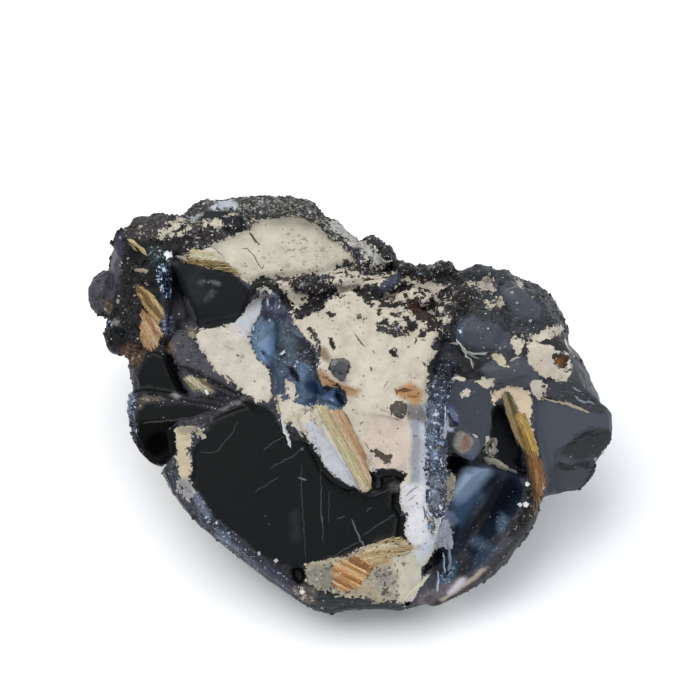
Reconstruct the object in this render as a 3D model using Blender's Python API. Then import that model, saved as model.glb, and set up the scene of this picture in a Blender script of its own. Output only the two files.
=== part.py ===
"""Rutile on hematite: a small mineral specimen of intergrown hematite plates, cream clay matrix and rutile sprays.

The display side is laid out on a slanted drawing plane. On it, u runs to the right, v up the slope and w out of the
plane, all in millimetres. A crystal is an outline in u and v with a height w; `place` turns those into metres, +Z up.
"""
import math
import random

import bmesh
import bpy
from mathutils import Vector, noise

# ---------------------------------------------------------------- driving dimensions, in millimetres
MM = 0.001
SLOPE = math.radians(50)      # elevation that the drawing plane faces
ORIGIN_HEIGHT = 13.5          # height of the drawing plane's origin above the surface below
ORIGIN_BACK = -1.0            # its place in depth
CENTRE_X, CENTRE_Y = -0.04, 2.08   # the footprint's middle, which is brought to the axis
GAP = 0.3                     # clearance between two minerals
POCKET_REACH = 9.0            # how far a pocket's cutter stands out of the host
LUMP_ROUGHNESS = 0.16         # share of a lump's radius that its surface wanders
MERGE_ANGLE = math.radians(3) # faces nearer to one plane than this become one

# (inset, drop) of each ring of a crystal, from its front face backwards
PLATE_EDGE = ((1.5, 0), (1.3, 0.5), (0.9, 0.6), (0.7, 1.4), (0.3, 1.5), (0, 2.8), (0.5, 4.4), (3.5, 8.0),
              (7.0, 11.0))
BLOCK_EDGE = ((0.5, 0), (0, 0.7), (0.4, 4.0), (3.0, 9.0))
SHELF_EDGE = ((0.9, 0), (0.6, 0.6), (0.2, 0.8), (0, 2.0), (0.8, 4.5), (2.5, 7.0))
DOME_EDGE = ((6.5, 0), (3.8, 0.7), (1.7, 2.3), (0.3, 5.0), (0, 7.0), (2.0, 11.0))
SMALL_EDGE = ((0.45, 0), (0, 0.5), (0.1, 5.0))
COLUMN_EDGE = ((2.2, 0), (1.2, 0.9), (0.3, 2.6), (0, 5.0), (2.2, 10.0))


def metres(x, y, z):
    """A point in millimetres as one in metres, with the footprint's middle on the axis."""
    return Vector((x - CENTRE_X, y - CENTRE_Y, z)) * MM


def place(u, v, w):
    """A point of the drawing plane in metres."""
    y = v * math.sin(SLOPE) - w * math.cos(SLOPE) + ORIGIN_BACK
    z = v * math.cos(SLOPE) + w * math.sin(SLOPE) + ORIGIN_HEIGHT
    return metres(u, y, z)


# ---------------------------------------------------------------- scene and object helpers
def clear_scene():
    for old in list(bpy.data.objects):
        bpy.data.objects.remove(old, do_unlink=True)


def mineral(name, colour, roughness, metallic):
    made = bpy.data.materials.new(name)
    made.use_nodes = True
    shader = made.node_tree.nodes["Principled BSDF"]
    shader.inputs["Base Color"].default_value = (*colour, 1)
    shader.inputs["Roughness"].default_value = roughness
    shader.inputs["Metallic"].default_value = metallic
    made.diffuse_color = (*colour, 1)
    return made


def collection(name, hidden=True):
    made = bpy.data.collections.new(name)
    bpy.context.scene.collection.children.link(made)
    made.hide_render = hidden
    return made


def add_object(name, mesh, home, helper=True):
    made = bpy.data.objects.new(name, mesh)
    home.objects.link(made)
    if helper:
        made.hide_render = True
        made.display_type = "WIRE"
    return made


def combine(target, operation, tools):
    cut = target.modifiers.new(tools.name, "BOOLEAN")
    cut.operation = operation
    cut.operand_type = "COLLECTION"
    cut.collection = tools
    cut.solver = "EXACT"
    cut.use_self = True


def merge_flats(target):
    tidy = target.modifiers.new("merge_flats", "DECIMATE")
    tidy.decimate_type = "DISSOLVE"
    tidy.angle_limit = MERGE_ANGLE


# ---------------------------------------------------------------- shapes
def loft(name, rings, home):
    """A closed body through rings of points in metres, capped at both ends."""
    shape = bmesh.new()
    layers = [[shape.verts.new(p) for p in ring] for ring in rings]
    for near, far in zip(layers, layers[1:]):
        for i, corner in enumerate(near):
            after = (i + 1) % len(near)
            shape.faces.new((corner, near[after], far[after], far[i]))
    shape.faces.new(layers[0][::-1])
    shape.faces.new(layers[-1])
    bmesh.ops.triangulate(shape, faces=shape.faces[:])
    bmesh.ops.recalc_face_normals(shape, faces=shape.faces[:])
    mesh = bpy.data.meshes.new(name)
    shape.to_mesh(mesh)
    shape.free()
    return add_object(name, mesh, home)


def middle(outline):
    count = len(outline)
    return sum(u for u, _ in outline) / count, sum(v for _, v in outline) / count


def drawn_in(outline, inset):
    """The outline shrunk about its middle, by inset on average."""
    cu, cv = middle(outline)
    reach = sum(math.hypot(u - cu, v - cv) for u, v in outline) / len(outline)
    keep = 1 - inset / reach
    return [(cu + (u - cu) * keep, cv + (v - cv) * keep) for u, v in outline]


def offset(outline, inset):
    """The outline with each edge moved inwards by inset, or outwards where that is negative."""
    area = sum(outline[i - 1][0] * v - u * outline[i - 1][1] for i, (u, v) in enumerate(outline))
    side = 1 if area > 0 else -1
    corners = []
    for i, (u, v) in enumerate(outline):
        last, following = outline[i - 1], outline[(i + 1) % len(outline)]
        arriving = Vector((u - last[0], v - last[1])).normalized()
        leaving = Vector((following[0] - u, following[1] - v)).normalized()
        across = Vector((-arriving.y - leaving.y, arriving.x + leaving.x)).normalized() * side
        share = max(0.5, across.dot(Vector((-arriving.y, arriving.x))) * side)
        corners.append((u + across.x * inset / share, v + across.y * inset / share))
    return corners


def face_points(corners, centre, height, slope, drop, lean=(0, 0)):
    """Corners on a sloping face plane that has this height at its centre, lowered by drop."""
    points = []
    for u, v in corners:
        w = height + slope[0] * (u - centre[0]) + slope[1] * (v - centre[1]) - drop
        points.append(place(u + lean[0] * drop, v + lean[1] * drop, w))
    return points


def crystal(name, home, outline, height, slope=(0, 0), edge=BLOCK_EDGE, lean=(0, 0)):
    """A tabular crystal: its front face has this outline, and edge says how its rim steps back."""
    centre = middle(outline)
    rings = [face_points(drawn_in(outline, inset), centre, height, slope, drop, lean) for inset, drop in edge]
    return loft(name, rings, home)


def lump(name, home, centre, radii, seed, subdivisions=2, turn=0.0, roughness=LUMP_ROUGHNESS):
    """A rough rounded knob at a point of the drawing plane, turned about w by an angle in degrees."""
    shape = bmesh.new()
    bmesh.ops.create_icosphere(shape, subdivisions=subdivisions, radius=1)
    cos, sin = math.cos(math.radians(turn)), math.sin(math.radians(turn))
    for vert in shape.verts:
        swell = 1 + roughness * 2 * noise.noise(vert.co * 1.7 + Vector((seed * 3.1, seed, 0)))
        a, b, c = (vert.co[i] * radii[i] * swell for i in range(3))
        vert.co = place(centre[0] + a * cos - b * sin, centre[1] + a * sin + b * cos, centre[2] + c)
    bmesh.ops.recalc_face_normals(shape, faces=shape.faces[:])
    mesh = bpy.data.meshes.new(name)
    shape.to_mesh(mesh)
    shape.free()
    return add_object(name, mesh, home)


def ridge(name, home, path, section):
    """A long crest: section is (across, down) pairs swept along path points (u, v, w)."""
    rings = []
    for i, (u, v, w) in enumerate(path):
        before, after = path[max(0, i - 1)], path[min(len(path) - 1, i + 1)]
        along = Vector((after[0] - before[0], after[1] - before[1])).normalized()
        rings.append([place(u - along.y * a, v + along.x * a, w - d) for a, d in section])
    return loft(name, rings, home)


def crust(name, home, path, radius, seed, depth=2.5):
    """A ragged band of small knobs along a rim: a crest whose width and height vary from point to point."""
    chance = random.Random(seed)
    rings = []
    for i, (u, v, w) in enumerate(path):
        before, after = path[max(0, i - 1)], path[min(len(path) - 1, i + 1)]
        along = Vector((after[0] - before[0], after[1] - before[1])).normalized()
        ring = []
        for k in range(5):
            angle = math.pi * k / 4
            reach = radius * chance.uniform(0.75, 1.2)
            across, up = math.cos(angle) * reach, math.sin(angle) * reach
            ring.append(place(u - along.y * across, v + along.x * across, w + up))
        for across in (-radius * 0.7, radius * 0.7):
            ring.append(place(u - along.y * across, v + along.x * across, w - depth))
        rings.append(ring)
    return loft(name, rings, home)


def hull(name, home, points):
    """The convex body round these points in metres."""
    shape = bmesh.new()
    for point in points:
        shape.verts.new(point)
    made = bmesh.ops.convex_hull(shape, input=shape.verts[:])
    spare = {g for g in made["geom_interior"] + made["geom_unused"] if isinstance(g, bmesh.types.BMVert)}
    bmesh.ops.delete(shape, geom=list(spare), context="VERTS")
    bmesh.ops.recalc_face_normals(shape, faces=shape.faces[:])
    mesh = bpy.data.meshes.new(name)
    shape.to_mesh(mesh)
    shape.free()
    return add_object(name, mesh, home)


def hexagon_plate(name, home, centre, azimuth, elevation, radius, thickness, spin):
    """A six-sided tabular crystal in millimetres, whose flat face looks along azimuth and elevation in degrees."""
    a, e = math.radians(azimuth), math.radians(elevation)
    out = Vector((math.cos(a) * math.cos(e), math.sin(a) * math.cos(e), math.sin(e)))
    side = out.orthogonal().normalized()
    other = out.cross(side)
    rings = []
    for share, rise in ((0.86, 0.5), (1.0, 0.32), (1.0, -0.1), (0.9, -0.5)):
        ring = []
        for k in range(6):
            angle = math.radians(60 * k + spin)
            reach = radius * share * (1.0 if k % 2 else 0.86)
            spot = Vector(centre) + (side * math.cos(angle) + other * math.sin(angle)) * reach
            ring.append(metres(*(spot + out * thickness * rise)))
        rings.append(ring)
    return loft(name, rings, home)


# ---------------------------------------------------------------- hematite host
CORE_BELOW = (
    # x, y, z: the flat underside
    (-9, -5, 0), (-2, -8.5, 0), (7, -7.5, 0), (12, -3, 0), (12.5, 4, 0), (9, 10, 0), (0, 12.5, 0),
    (-9, 10.5, 0), (-12.5, 3, 0),
    # the foot
    (-13, -5, 1.8), (-4, -11, 1.6), (8, -11, 1.8), (15, -4, 2), (16, 5, 2), (11, 13, 2), (0, 15, 2),
    (-12, 13, 2), (-16.5, 3, 2),
    # the waist
    (-17, -4, 6), (-8, -12, 5), (3, -15, 5), (12, -12, 6), (18, -5, 7), (21, 3, 7), (19, 11, 7), (9, 17, 7),
    (-7, 19, 7), (-18, 16, 7), (-21, 7, 7),
)
CORE_ABOVE = (
    # u, v, w: just under the display side's crystals
    (-19, 9, -4.5), (-17, 17, -8), (-8, 19, -9.5), (-4, 16.8, -9), (2, 13.4, -5.3), (14, 11.5, -4.5), (20, 9, -3),
    (21, 2, -1.5), (22, -4, -1.8), (17, -9, -0.8), (13, -14, -1), (8, -17.5, 2), (-3, -18, 2.5),
    (-14, -11, 1.5), (-19, -2, -1), (-12, 3, -2), (0, 0, 0.5), (2.2, 15.4, -6.5),
)

FRONT_PLATE = ((-18.9, -6.6), (-17.7, -8.9), (-15.9, -11.2), (-13.8, -13.1), (-11.8, -14.6), (-8.3, -17.4),
               (-4.9, -19.7), (-3.4, -20.5), (-1.9, -20.8), (-0.4, -20.5), (3.5, -20.3), (5.0, -20.5),
               (7.4, -19.8), (8.2, -18.0), (7.5, -7.5), (5.0, -5.0), (0.0, -3.5), (-5.0, 0.0), (-8.8, 1.3),
               (-11.5, 1.2), (-14.5, 0.0), (-16.5, -2.0), (-17.6, -4.5))
LEFT_SHELF = ((-22.0, 1.3), (-22.3, -0.7), (-21.8, -3.3), (-21.1, -4.7), (-20.0, -5.8), (-18.9, -6.3),
              (-16.5, -4.5), (-13.5, -1.5), (-11.8, 0.3), (-15.0, 0.9), (-20.5, 1.7))
LEFT_FACE = ((-20.8, 5.5), (-19.8, 6.1), (-18.4, 5.6), (-17.8, 3.7), (-17.0, 1.9), (-16.2, 0.7), (-19.0, 0.3),
             (-21.7, 0.9), (-21.9, 2.2), (-22.3, 4.0))
GREY_WEDGE = ((-17.4, 7.5), (-16.2, 7.5), (-15.4, 6.3), (-14.4, 4.5), (-13.2, 3.1), (-11.8, 1.7), (-10.4, 0.6),
              (-12.5, 0.9), (-14.2, 2.1), (-16.2, 3.1), (-17.4, 4.1), (-18.2, 6.0))
LEFT_COLUMN = ((-24.4, 14.6), (-23.7, 16.6), (-22.2, 18.3), (-20.9, 19.0), (-19.2, 19.4), (-17.4, 19.1),
               (-16.0, 17.5), (-17.4, 13.5), (-18.2, 8.5), (-18.6, 6.0), (-22.6, 5.1), (-24.2, 6.8),
               (-24.5, 9.0))
BACK_PLATE = ((-17.3, 18.8), (-16.0, 20.1), (-15.1, 20.5), (-12.0, 20.9), (-8.0, 21.1), (-5.0, 20.9),
              (-3.7, 20.3), (-2.6, 19.1), (-1.4, 18.6), (0.0, 17.2), (2.5, 15.2), (4.0, 14.0), (3.0, 12.0),
              (-1.0, 10.5), (-8.0, 10.7), (-15.0, 12.5), (-18.5, 14.5))
BLACK_RISER = ((-18.3, 14.4), (-16.4, 14.3), (-15.0, 13.9), (-13.4, 13.5), (-11.8, 13.2), (-10.7, 12.7),
               (-10.0, 12.0), (-8.8, 12.0), (-8.4, 11.0), (-9.4, 10.2), (-10.4, 9.4), (-11.1, 8.7), (-11.9, 8.0),
               (-13.6, 7.5), (-15.1, 7.3), (-16.0, 8.0), (-16.6, 10.5), (-17.2, 12.5))
TERRACE = ((-17.5, 8.5), (-13.0, 8.6), (-8.4, 11.8), (-5.0, 9.0), (-3.4, 5.0), (-2.6, 1.0), (-4.5, -0.6),
           (-9.0, 0.0), (-13.0, 1.0), (-16.5, 5.0))
MIDDLE_MASS = ((-8.8, 11.5), (-6.0, 12.9), (-1.0, 13.2), (3.0, 13.4), (6.0, 13.2), (10.0, 13.2), (11.5, 11.0),
               (11.0, 6.0), (10.4, 1.0), (9.2, -3.5), (5.0, -4.6), (0.0, -4.6), (-4.0, -3.4), (-6.6, 0.5),
               (-6.2, 4.0), (-7.8, 8.0))
RIGHT_MASS = ((8.0, 13.3), (10.6, 13.5), (12.6, 13.7), (15.2, 13.5), (17.2, 12.8), (19.0, 12.2), (20.3, 10.9),
              (21.4, 9.0), (22.0, 7.5), (21.9, 6.4), (23.2, 4.7), (24.0, 3.2), (24.6, 1.7), (25.2, 0.2),
              (21.0, -0.8), (17.5, -0.4), (14.0, 0.3), (10.0, 0.5), (8.6, 4.0), (8.0, 9.0))
RIGHT_BLOCK = ((18.4, 1.0), (21.0, 0.6), (25.5, 0.1), (26.2, -0.7), (26.3, -2.3), (26.0, -3.9), (24.6, -5.7),
               (24.4, -6.8), (23.9, -7.8), (23.1, -8.5), (21.2, -8.8), (19.0, -9.3), (17.6, -7.0),
               (17.2, -2.5))
BLOCK_SLOPE = (-0.28, 0.10)
STEP_TOP, STEP_DROP = 6.0, 6.4
BLOCK_STEP = ((20.4, -4.6), (23.0, -3.2), (28.0, -2.2), (28.0, -9.5), (20.6, -9.5))
INNER_FACE = ((9.6, 2.6), (12.0, 3.4), (14.6, 2.2), (15.2, 0.2), (14.4, -1.6), (14.0, -3.4), (12.9, -4.6),
              (11.5, -2.9), (10.4, -1.8), (9.6, 0.2))
INNER_CRYSTAL = ((9.7, -2.4), (11.0, -2.0), (12.6, -3.0), (13.0, -4.6), (12.2, -5.6), (10.8, -5.0), (9.7, -4.0))
BOWL = ((9.5, -5.5), (12.0, -5.8), (15.0, -6.4), (18.0, -7.2), (19.1, -9.2), (18.9, -10.5), (18.4, -12.1),
        (17.7, -13.2), (16.5, -14.4), (15.7, -15.6), (14.7, -16.6), (13.4, -17.6), (12.0, -18.4), (10.5, -19.2),
        (9.3, -19.8), (8.4, -20.1), (7.5, -19.8), (7.8, -15.5), (8.6, -11.5))
RIDGE_PATH = ((9.1, 2.9, 4.2), (8.9, 1.6, 5.4), (8.8, 0.4, 5.2), (8.7, -1.0, 6.3), (8.6, -3.4, 6.5),
              (8.7, -4.4, 6.9), (8.6, -6.8, 6.7), (8.5, -8.2, 6.2), (8.6, -9.6, 6.5), (8.4, -12.4, 5.8),
              (8.3, -13.6, 6.0), (8.1, -16.0, 5.2), (8.0, -18.8, 4.4))
RIDGE_SECTION = ((-0.75, 0.0), (0.0, -0.35), (0.75, 0.0), (1.1, 1.6), (1.5, 5.0), (-1.5, 5.0), (-1.1, 1.2))
BLUE_CRYSTALS = (
    # outline, height, slope: small plates that stand in the hollow beside the clay
    (((-9.7, 7.0), (-9.2, 8.1), (-8.4, 8.7), (-7.5, 8.3), (-7.1, 7.0), (-7.2, 5.5), (-7.8, 4.3), (-8.7, 5.1),
      (-9.6, 6.0)), -0.9, (0.10, -0.35)),
    (((-7.4, 9.3), (-6.4, 8.9), (-5.4, 7.5), (-4.6, 6.3), (-5.0, 5.3), (-6.0, 5.3), (-6.8, 6.5), (-7.3, 7.7)),
     -0.1, (0.25, -0.30)),
    (((-7.4, 4.0), (-6.0, 5.1), (-5.0, 4.9), (-5.3, 3.2), (-5.8, 1.1), (-6.9, 0.4), (-7.7, 2.0)),
     1.2, (0.10, -0.45)),
    (((-5.4, 3.3), (-5.0, 4.7), (-3.7, 5.0), (-3.2, 3.9), (-3.6, 2.5), (-3.2, 1.5), (-3.4, 0.3), (-4.5, -0.1),
      (-5.3, 0.5), (-5.6, 1.7)), 2.2, (-0.10, -0.35)),
    (((-3.0, 0.9), (-1.8, 1.5), (-0.9, 1.1), (-0.4, 0.3), (-0.8, -0.5), (-1.8, -0.7), (-2.7, -0.1)),
     3.2, (-0.20, -0.25)),
)
LUMPS = (
    # centre, radii, turn: knobs on the rim and along the crest
    ((-24.8, 11.1, -6.0), (1.7, 2.2, 2.0), 0), ((-23.2, 9.8, -4.2), (1.5, 2.0, 1.8), 10),
    ((-23.1, 6.9, -3.8), (1.7, 2.1, 2.2), 0), ((-21.8, 6.1, -2.8), (1.6, 1.6, 1.6), 20),
    ((-22.2, 15.7, -4.4), (1.6, 2.5, 1.7), 20), ((-20.2, 17.5, -5.2), (2.2, 1.5, 1.8), -10),
    ((-19.8, 13.2, -2.9), (1.2, 2.1, 1.5), 0), ((-20.8, 10.6, -3.0), (1.2, 1.8, 1.4), 15),
    ((-17.0, 17.3, -5.6), (1.7, 1.2, 1.6), 0),
    ((2.4, 16.0, -6.2), (1.4, 0.9, 2.4), -40), ((3.5, 15.0, -5.4), (1.2, 1.2, 2.6), -40),
    ((5.3, 13.6, -3.6), (1.0, 0.8, 2.4), 0), ((9.3, 13.6, -4.2), (1.2, 0.85, 3.4), 0),
    ((7.5, 13.2, -4.0), (1.2, 0.8, 3.4), 0),
    ((13.0, 13.1, -3.8), (1.7, 1.0, 2.4), -5), ((15.4, 12.3, -3.4), (1.6, 1.2, 2.4), -15),
    ((-0.6, 12.4, -1.8), (1.8, 0.8, 1.2), 0), ((-3.9, 12.0, -1.5), (2.3, 0.8, 1.2), -4),
    ((-7.6, 11.4, -1.6), (1.1, 0.9, 1.1), 0), ((3.0, 11.8, -1.2), (2.2, 0.9, 1.2), 8),
    ((6.5, 10.7, -0.4), (2.0, 1.0, 1.1), 0), ((10.0, 8.4, 1.2), (1.6, 2.4, 1.2), 10),
    ((13.2, 7.2, 2.3), (3.0, 2.6, 1.5), 20), ((17.6, 9.2, 0.7), (3.4, 2.2, 1.8), -35),
    ((15.0, 3.6, 3.2), (3.2, 1.3, 1.3), 5), ((20.6, 3.4, 1.4), (1.8, 2.4, 1.6), 20),
)
BACK_CRUST_PATH = ((-17.6, 17.9, -6.9), (-16.3, 18.5, -7.4), (-15.0, 19.1, -7.8), (-13.4, 19.3, -7.7),
                   (-11.6, 19.3, -7.6), (-9.8, 19.5, -7.5), (-7.8, 19.6, -7.5), (-5.8, 19.4, -7.4),
                   (-4.2, 18.8, -7.1), (-2.8, 17.6, -6.6), (-1.4, 16.5, -6.0), (0.2, 15.2, -5.1),
                   (1.4, 14.2, -4.4))
INNER_CRUST_PATH = ((-17.4, 16.6, -5.4), (-15.8, 16.8, -5.8), (-14.2, 17.6, -6.4), (-12.4, 18.1, -6.7),
                    (-10.9, 18.3, -6.8))
HIDDEN_PLATES = (
    # centre, azimuth, elevation, radius, thickness, spin: crystals of the sides and back
    ((-17, 15, 9), 140, 20, 6.5, 3.0, 10), ((-8, 18, 8), 100, 12, 8.0, 3.0, 40), ((4, 17, 8), 75, 25, 7.5, 3.5, 0),
    ((13, 12, 10), 45, 30, 7.0, 3.0, 25), ((19, 5, 8), 15, 10, 6.0, 3.5, 50), ((-19, 7, 8), 185, 8, 5.5, 3.5, 15),
    ((-14.5, -2, 4), 215, -10, 4.6, 3.0, 30), ((16, -4, 5), -25, -15, 5.0, 3.0, 5),
    ((-4, 20, 12), 110, 45, 5.0, 2.6, 20), ((-3, 18, 4), 95, -20, 6.0, 3.0, 15), ((14, 10, 4), 50, -20, 5.5, 3.0, 45),
    ((-14, 13, 3), 145, -25, 5.5, 3.0, 25),
)


def build_host_stock(stock):
    """Every crystal and knob of the hematite, before pockets are cut."""
    crystal("front_plate", stock, FRONT_PLATE, 4.4, (0.0, -0.13), PLATE_EDGE)
    crystal("left_shelf", stock, LEFT_SHELF, 1.4, (0.18, 0.10), SHELF_EDGE)
    crystal("left_face", stock, LEFT_FACE, 0.0, (0.30, 0.10), SHELF_EDGE)
    crystal("grey_wedge", stock, GREY_WEDGE, 0.7, (0.0, -0.35), SMALL_EDGE)
    crystal("left_column", stock, LEFT_COLUMN, -2.6, (0.22, -0.28), COLUMN_EDGE)
    crystal("back_plate", stock, BACK_PLATE, -5.5, (0.0, -0.72), SHELF_EDGE)
    crystal("black_riser", stock, BLACK_RISER, -2.2, (0.05, 0.12), SMALL_EDGE)
    crystal("terrace", stock, TERRACE, -0.6, (0.0, -0.72), BLOCK_EDGE)
    crystal("middle_mass", stock, MIDDLE_MASS, 0.6, (0.05, -0.42), BLOCK_EDGE)
    crystal("right_mass", stock, RIGHT_MASS, 3.0, (-0.05, -0.38), DOME_EDGE)
    crystal("right_block", stock, RIGHT_BLOCK, 0.9, BLOCK_SLOPE, BLOCK_EDGE)
    crystal("inner_face", stock, INNER_FACE, 4.3, (-0.10, -0.10), BLOCK_EDGE)
    crystal("inner_crystal", stock, INNER_CRYSTAL, 4.9, (-0.2, 0.15), SMALL_EDGE)
    crystal("bowl", stock, BOWL, 3.4, (-0.10, 0.02), SHELF_EDGE)
    ridge("ridge", stock, RIDGE_PATH, RIDGE_SECTION)
    crust("back_crust", stock, BACK_CRUST_PATH, 0.95, seed=4)
    crust("inner_crust", stock, INNER_CRUST_PATH, 1.0, seed=9)
    for i, (outline, height, slope) in enumerate(BLUE_CRYSTALS):
        crystal(f"blue_crystal_{i}", stock, outline, height, slope, SMALL_EDGE)
    for i, (centre, radii, turn) in enumerate(LUMPS):
        lump(f"lump_{i}", stock, centre, radii, i + 1, 2, turn)
    for i, plate in enumerate(HIDDEN_PLATES):
        hexagon_plate(f"hidden_plate_{i}", stock, *plate)


def build_hollows(hollows):
    """What is missing from the hematite: the dish, the slot above it, the hole under the left shelf, the flat."""
    lump("dish", hollows, (12.9, -11.2, 5.2), (3.3, 7.4, 5.4), 31, 3, -32, 0)
    lump("slot", hollows, (15.3, -3.2, 4.4), (1.1, 3.4, 4.8), 33, 2, 12, 0.1)
    lump("shelf_hole", hollows, (-19.1, -3.9, 3.0), (1.75, 1.6, 4.2), 34, 2, 20, 0.1)
    crystal("block_step_cut", hollows, BLOCK_STEP, STEP_TOP, BLOCK_SLOPE, ((0, 0), (0, STEP_DROP)))
    below = [metres(x, y, z) for x in (-40, 40) for y in (-40, 40) for z in (-20, 0)]
    hull("underside", hollows, below)


# ---------------------------------------------------------------- clay matrix and rutile
# Each inlay has slabs of (outline, height, slope, depth). Its own pocket is GAP wider all round.
CLAY_UPPER = ((((-14.4, 15.5), (-13.6, 16.2), (-11.8, 16.6), (-10.2, 17.2), (-9.4, 18.1), (-7.5, 18.7),
                (-5.0, 18.6), (-3.6, 18.1), (-2.6, 17.2), (-1.2, 16.1), (0.6, 14.8), (0.0, 14.1), (-1.4, 13.9),
                (-2.4, 13.3), (-5.0, 13.1), (-7.2, 12.9), (-8.8, 12.7), (-10.0, 12.4), (-11.4, 13.1),
                (-12.8, 13.6), (-14.6, 14.0), (-15.8, 14.5), (-15.4, 15.1)), -5.4, (0.0, -0.75), 2.2),)
CLAY_LEFT = ((((-8.4, 11.2), (-7.8, 10.5), (-8.0, 9.3), (-9.1, 8.3), (-9.9, 7.3), (-9.9, 5.9), (-9.2, 4.8),
               (-8.4, 3.9), (-7.9, 2.9), (-7.8, 1.7), (-7.9, 0.4), (-9.0, 0.2), (-10.3, 0.8), (-11.2, 1.8),
               (-12.4, 2.5), (-13.6, 3.5), (-14.5, 4.9), (-15.2, 6.0), (-15.5, 6.8), (-15.0, 7.6), (-12.8, 7.9),
               (-11.7, 8.3), (-10.4, 9.9), (-9.2, 10.8)), -0.2, (0.0, -0.70), 2.2),)
CLAY_CENTRE = (
    # the broad middle
    (((-6.3, 8.2), (-5.8, 9.6), (-3.8, 8.9), (-2.0, 10.3), (0.0, 10.9), (2.2, 10.3), (5.0, 9.6), (7.8, 8.6),
      (8.6, 7.0), (8.4, 5.3), (7.8, 4.0), (7.6, 2.0), (7.4, 0.0), (7.3, -1.9), (5.8, -2.2), (4.5, -1.0),
      (2.2, -0.4), (0.2, -1.0), (0.0, 0.6), (-0.6, 1.9), (-2.4, 2.2), (-2.9, 3.4), (-2.7, 4.8), (-3.5, 6.0),
      (-4.6, 7.0)), 2.6, (0.05, -0.42), 2.6),
    # the pink facet below it
    (((-0.7, -0.7), (2.2, 0.2), (4.2, 0.1), (5.9, -0.6), (5.8, -3.5), (5.7, -6.3), (3.0, -6.6), (1.7, -6.5),
      (0.9, -4.8), (-0.1, -2.8)), 5.0, (0.05, -0.15), 2.4),
    # the pale strip along the ridge
    (((5.4, -1.4), (7.4, -1.6), (7.6, -7.5), (7.5, -10.0), (7.7, -12.0), (7.6, -14.2), (6.9, -16.3),
      (7.4, -18.4), (5.6, -19.7), (4.6, -19.0), (4.9, -17.2), (5.0, -15.6), (6.2, -14.3), (5.2, -12.7),
      (5.5, -11.1), (4.8, -10.0), (4.9, -8.7), (5.5, -7.3), (5.4, -4.5)), 5.7, (0.45, -0.02), 2.6),
    # the patch at the foot of the front plate
    (((-4.4, -16.4), (-2.4, -15.9), (-0.6, -15.4), (1.2, -15.0), (2.6, -13.8), (4.6, -13.4), (5.6, -14.6),
      (6.3, -16.0), (6.0, -18.6), (4.6, -19.3), (2.6, -18.8), (-1.4, -18.4), (-3.2, -18.2), (-4.4, -17.4)),
     5.3, (0.02, -0.12), 1.8),
    # the white blade
    (((-4.6, -1.6), (-3.6, -0.7), (-1.0, -0.4), (0.6, -2.4), (1.8, -4.8), (2.7, -6.9), (2.4, -8.4), (1.6, -8.8),
      (0.0, -8.1), (-1.4, -7.3), (-2.5, -6.3), (-3.3, -4.6), (-4.1, -3.2)), 4.9, (0.10, 0.0), 2.4),
    # the scrap that joins it to the hollow
    (((-7.6, 0.4), (-6.2, 0.4), (-4.6, -0.2), (-3.2, -0.6), (-3.4, -2.0), (-4.6, -3.0), (-5.6, -2.9),
      (-6.6, -1.6)), 3.3, (0.10, -0.20), 2.2),
)
CLAY_RIGHT = ((((17.6, 5.6), (18.8, 6.0), (20.0, 6.4), (21.2, 5.6), (21.6, 4.0), (21.7, 2.6), (20.6, 2.5),
                (19.4, 3.1), (18.4, 4.2)), 3.2, (-0.35, -0.35), 1.8),)
CLAY_SIDE = ((((-17.7, -2.7), (-16.8, -2.2), (-15.8, -2.3), (-15.5, -3.4), (-15.7, -5.4), (-15.7, -7.2),
               (-16.1, -8.3), (-16.7, -7.8), (-17.4, -6.8), (-17.2, -5.2), (-17.5, -4.0)),
              3.6, (0.2, -0.1), 1.6),)
RUTILE_LEFT = ((((-20.9, 11.5), (-20.2, 11.1), (-19.3, 10.0), (-18.8, 8.6), (-18.7, 7.1), (-19.1, 6.1),
                 (-20.1, 5.7), (-20.8, 6.2), (-20.9, 8.2), (-21.0, 9.9)), -1.3, (0.05, -0.30), 1.6),)
RUTILE_UPPER = ((((-17.8, 15.1), (-16.4, 15.3), (-15.9, 15.5), (-14.7, 15.8), (-13.6, 15.2), (-12.9, 14.7),
                  (-13.6, 14.1), (-15.2, 14.1), (-16.6, 14.5)), -4.2, (0.05, -0.60), 1.4),)
RUTILE_CENTRE = ((((-3.2, 0.1), (-1.5, -0.5), (-0.4, -2.0), (0.5, -3.7), (1.1, -5.3), (2.0, -7.5),
                   (2.1, -8.3), (1.6, -8.7), (0.8, -7.5), (-0.3, -5.7), (-1.5, -3.8), (-2.6, -1.9),
                   (-3.4, -0.7)), 5.7, (0.0, -0.10), 1.6),)
RUTILE_FOOT = ((((-2.3, -15.7), (-0.4, -15.5), (1.8, -14.6), (3.8, -14.0), (5.2, -14.6), (5.2, -16.4),
                 (3.6, -17.6), (1.0, -18.4), (-1.6, -18.5), (-2.2, -17.4)), 5.7, (0.02, -0.12), 1.2),)
RUTILE_RIGHT = ((((14.4, 1.3), (15.6, 1.8), (17.2, 1.5), (18.0, 0.4), (18.2, -1.2), (18.5, -3.0), (18.9, -5.0),
                  (19.6, -7.4), (19.2, -8.9), (18.3, -8.4), (18.0, -6.4), (17.4, -4.2), (16.5, -1.8),
                  (15.4, 0.2)), 3.0, (-0.10, 0.04), 1.8),)
RUTILE_WEDGE = ((((-16.8, 3.3), (-15.6, 2.9), (-14.4, 2.2), (-13.4, 1.3), (-14.4, 0.9), (-15.4, 1.1),
                  (-16.2, 2.0)), 1.0, (0.0, -0.35), 1.2),)

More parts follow.
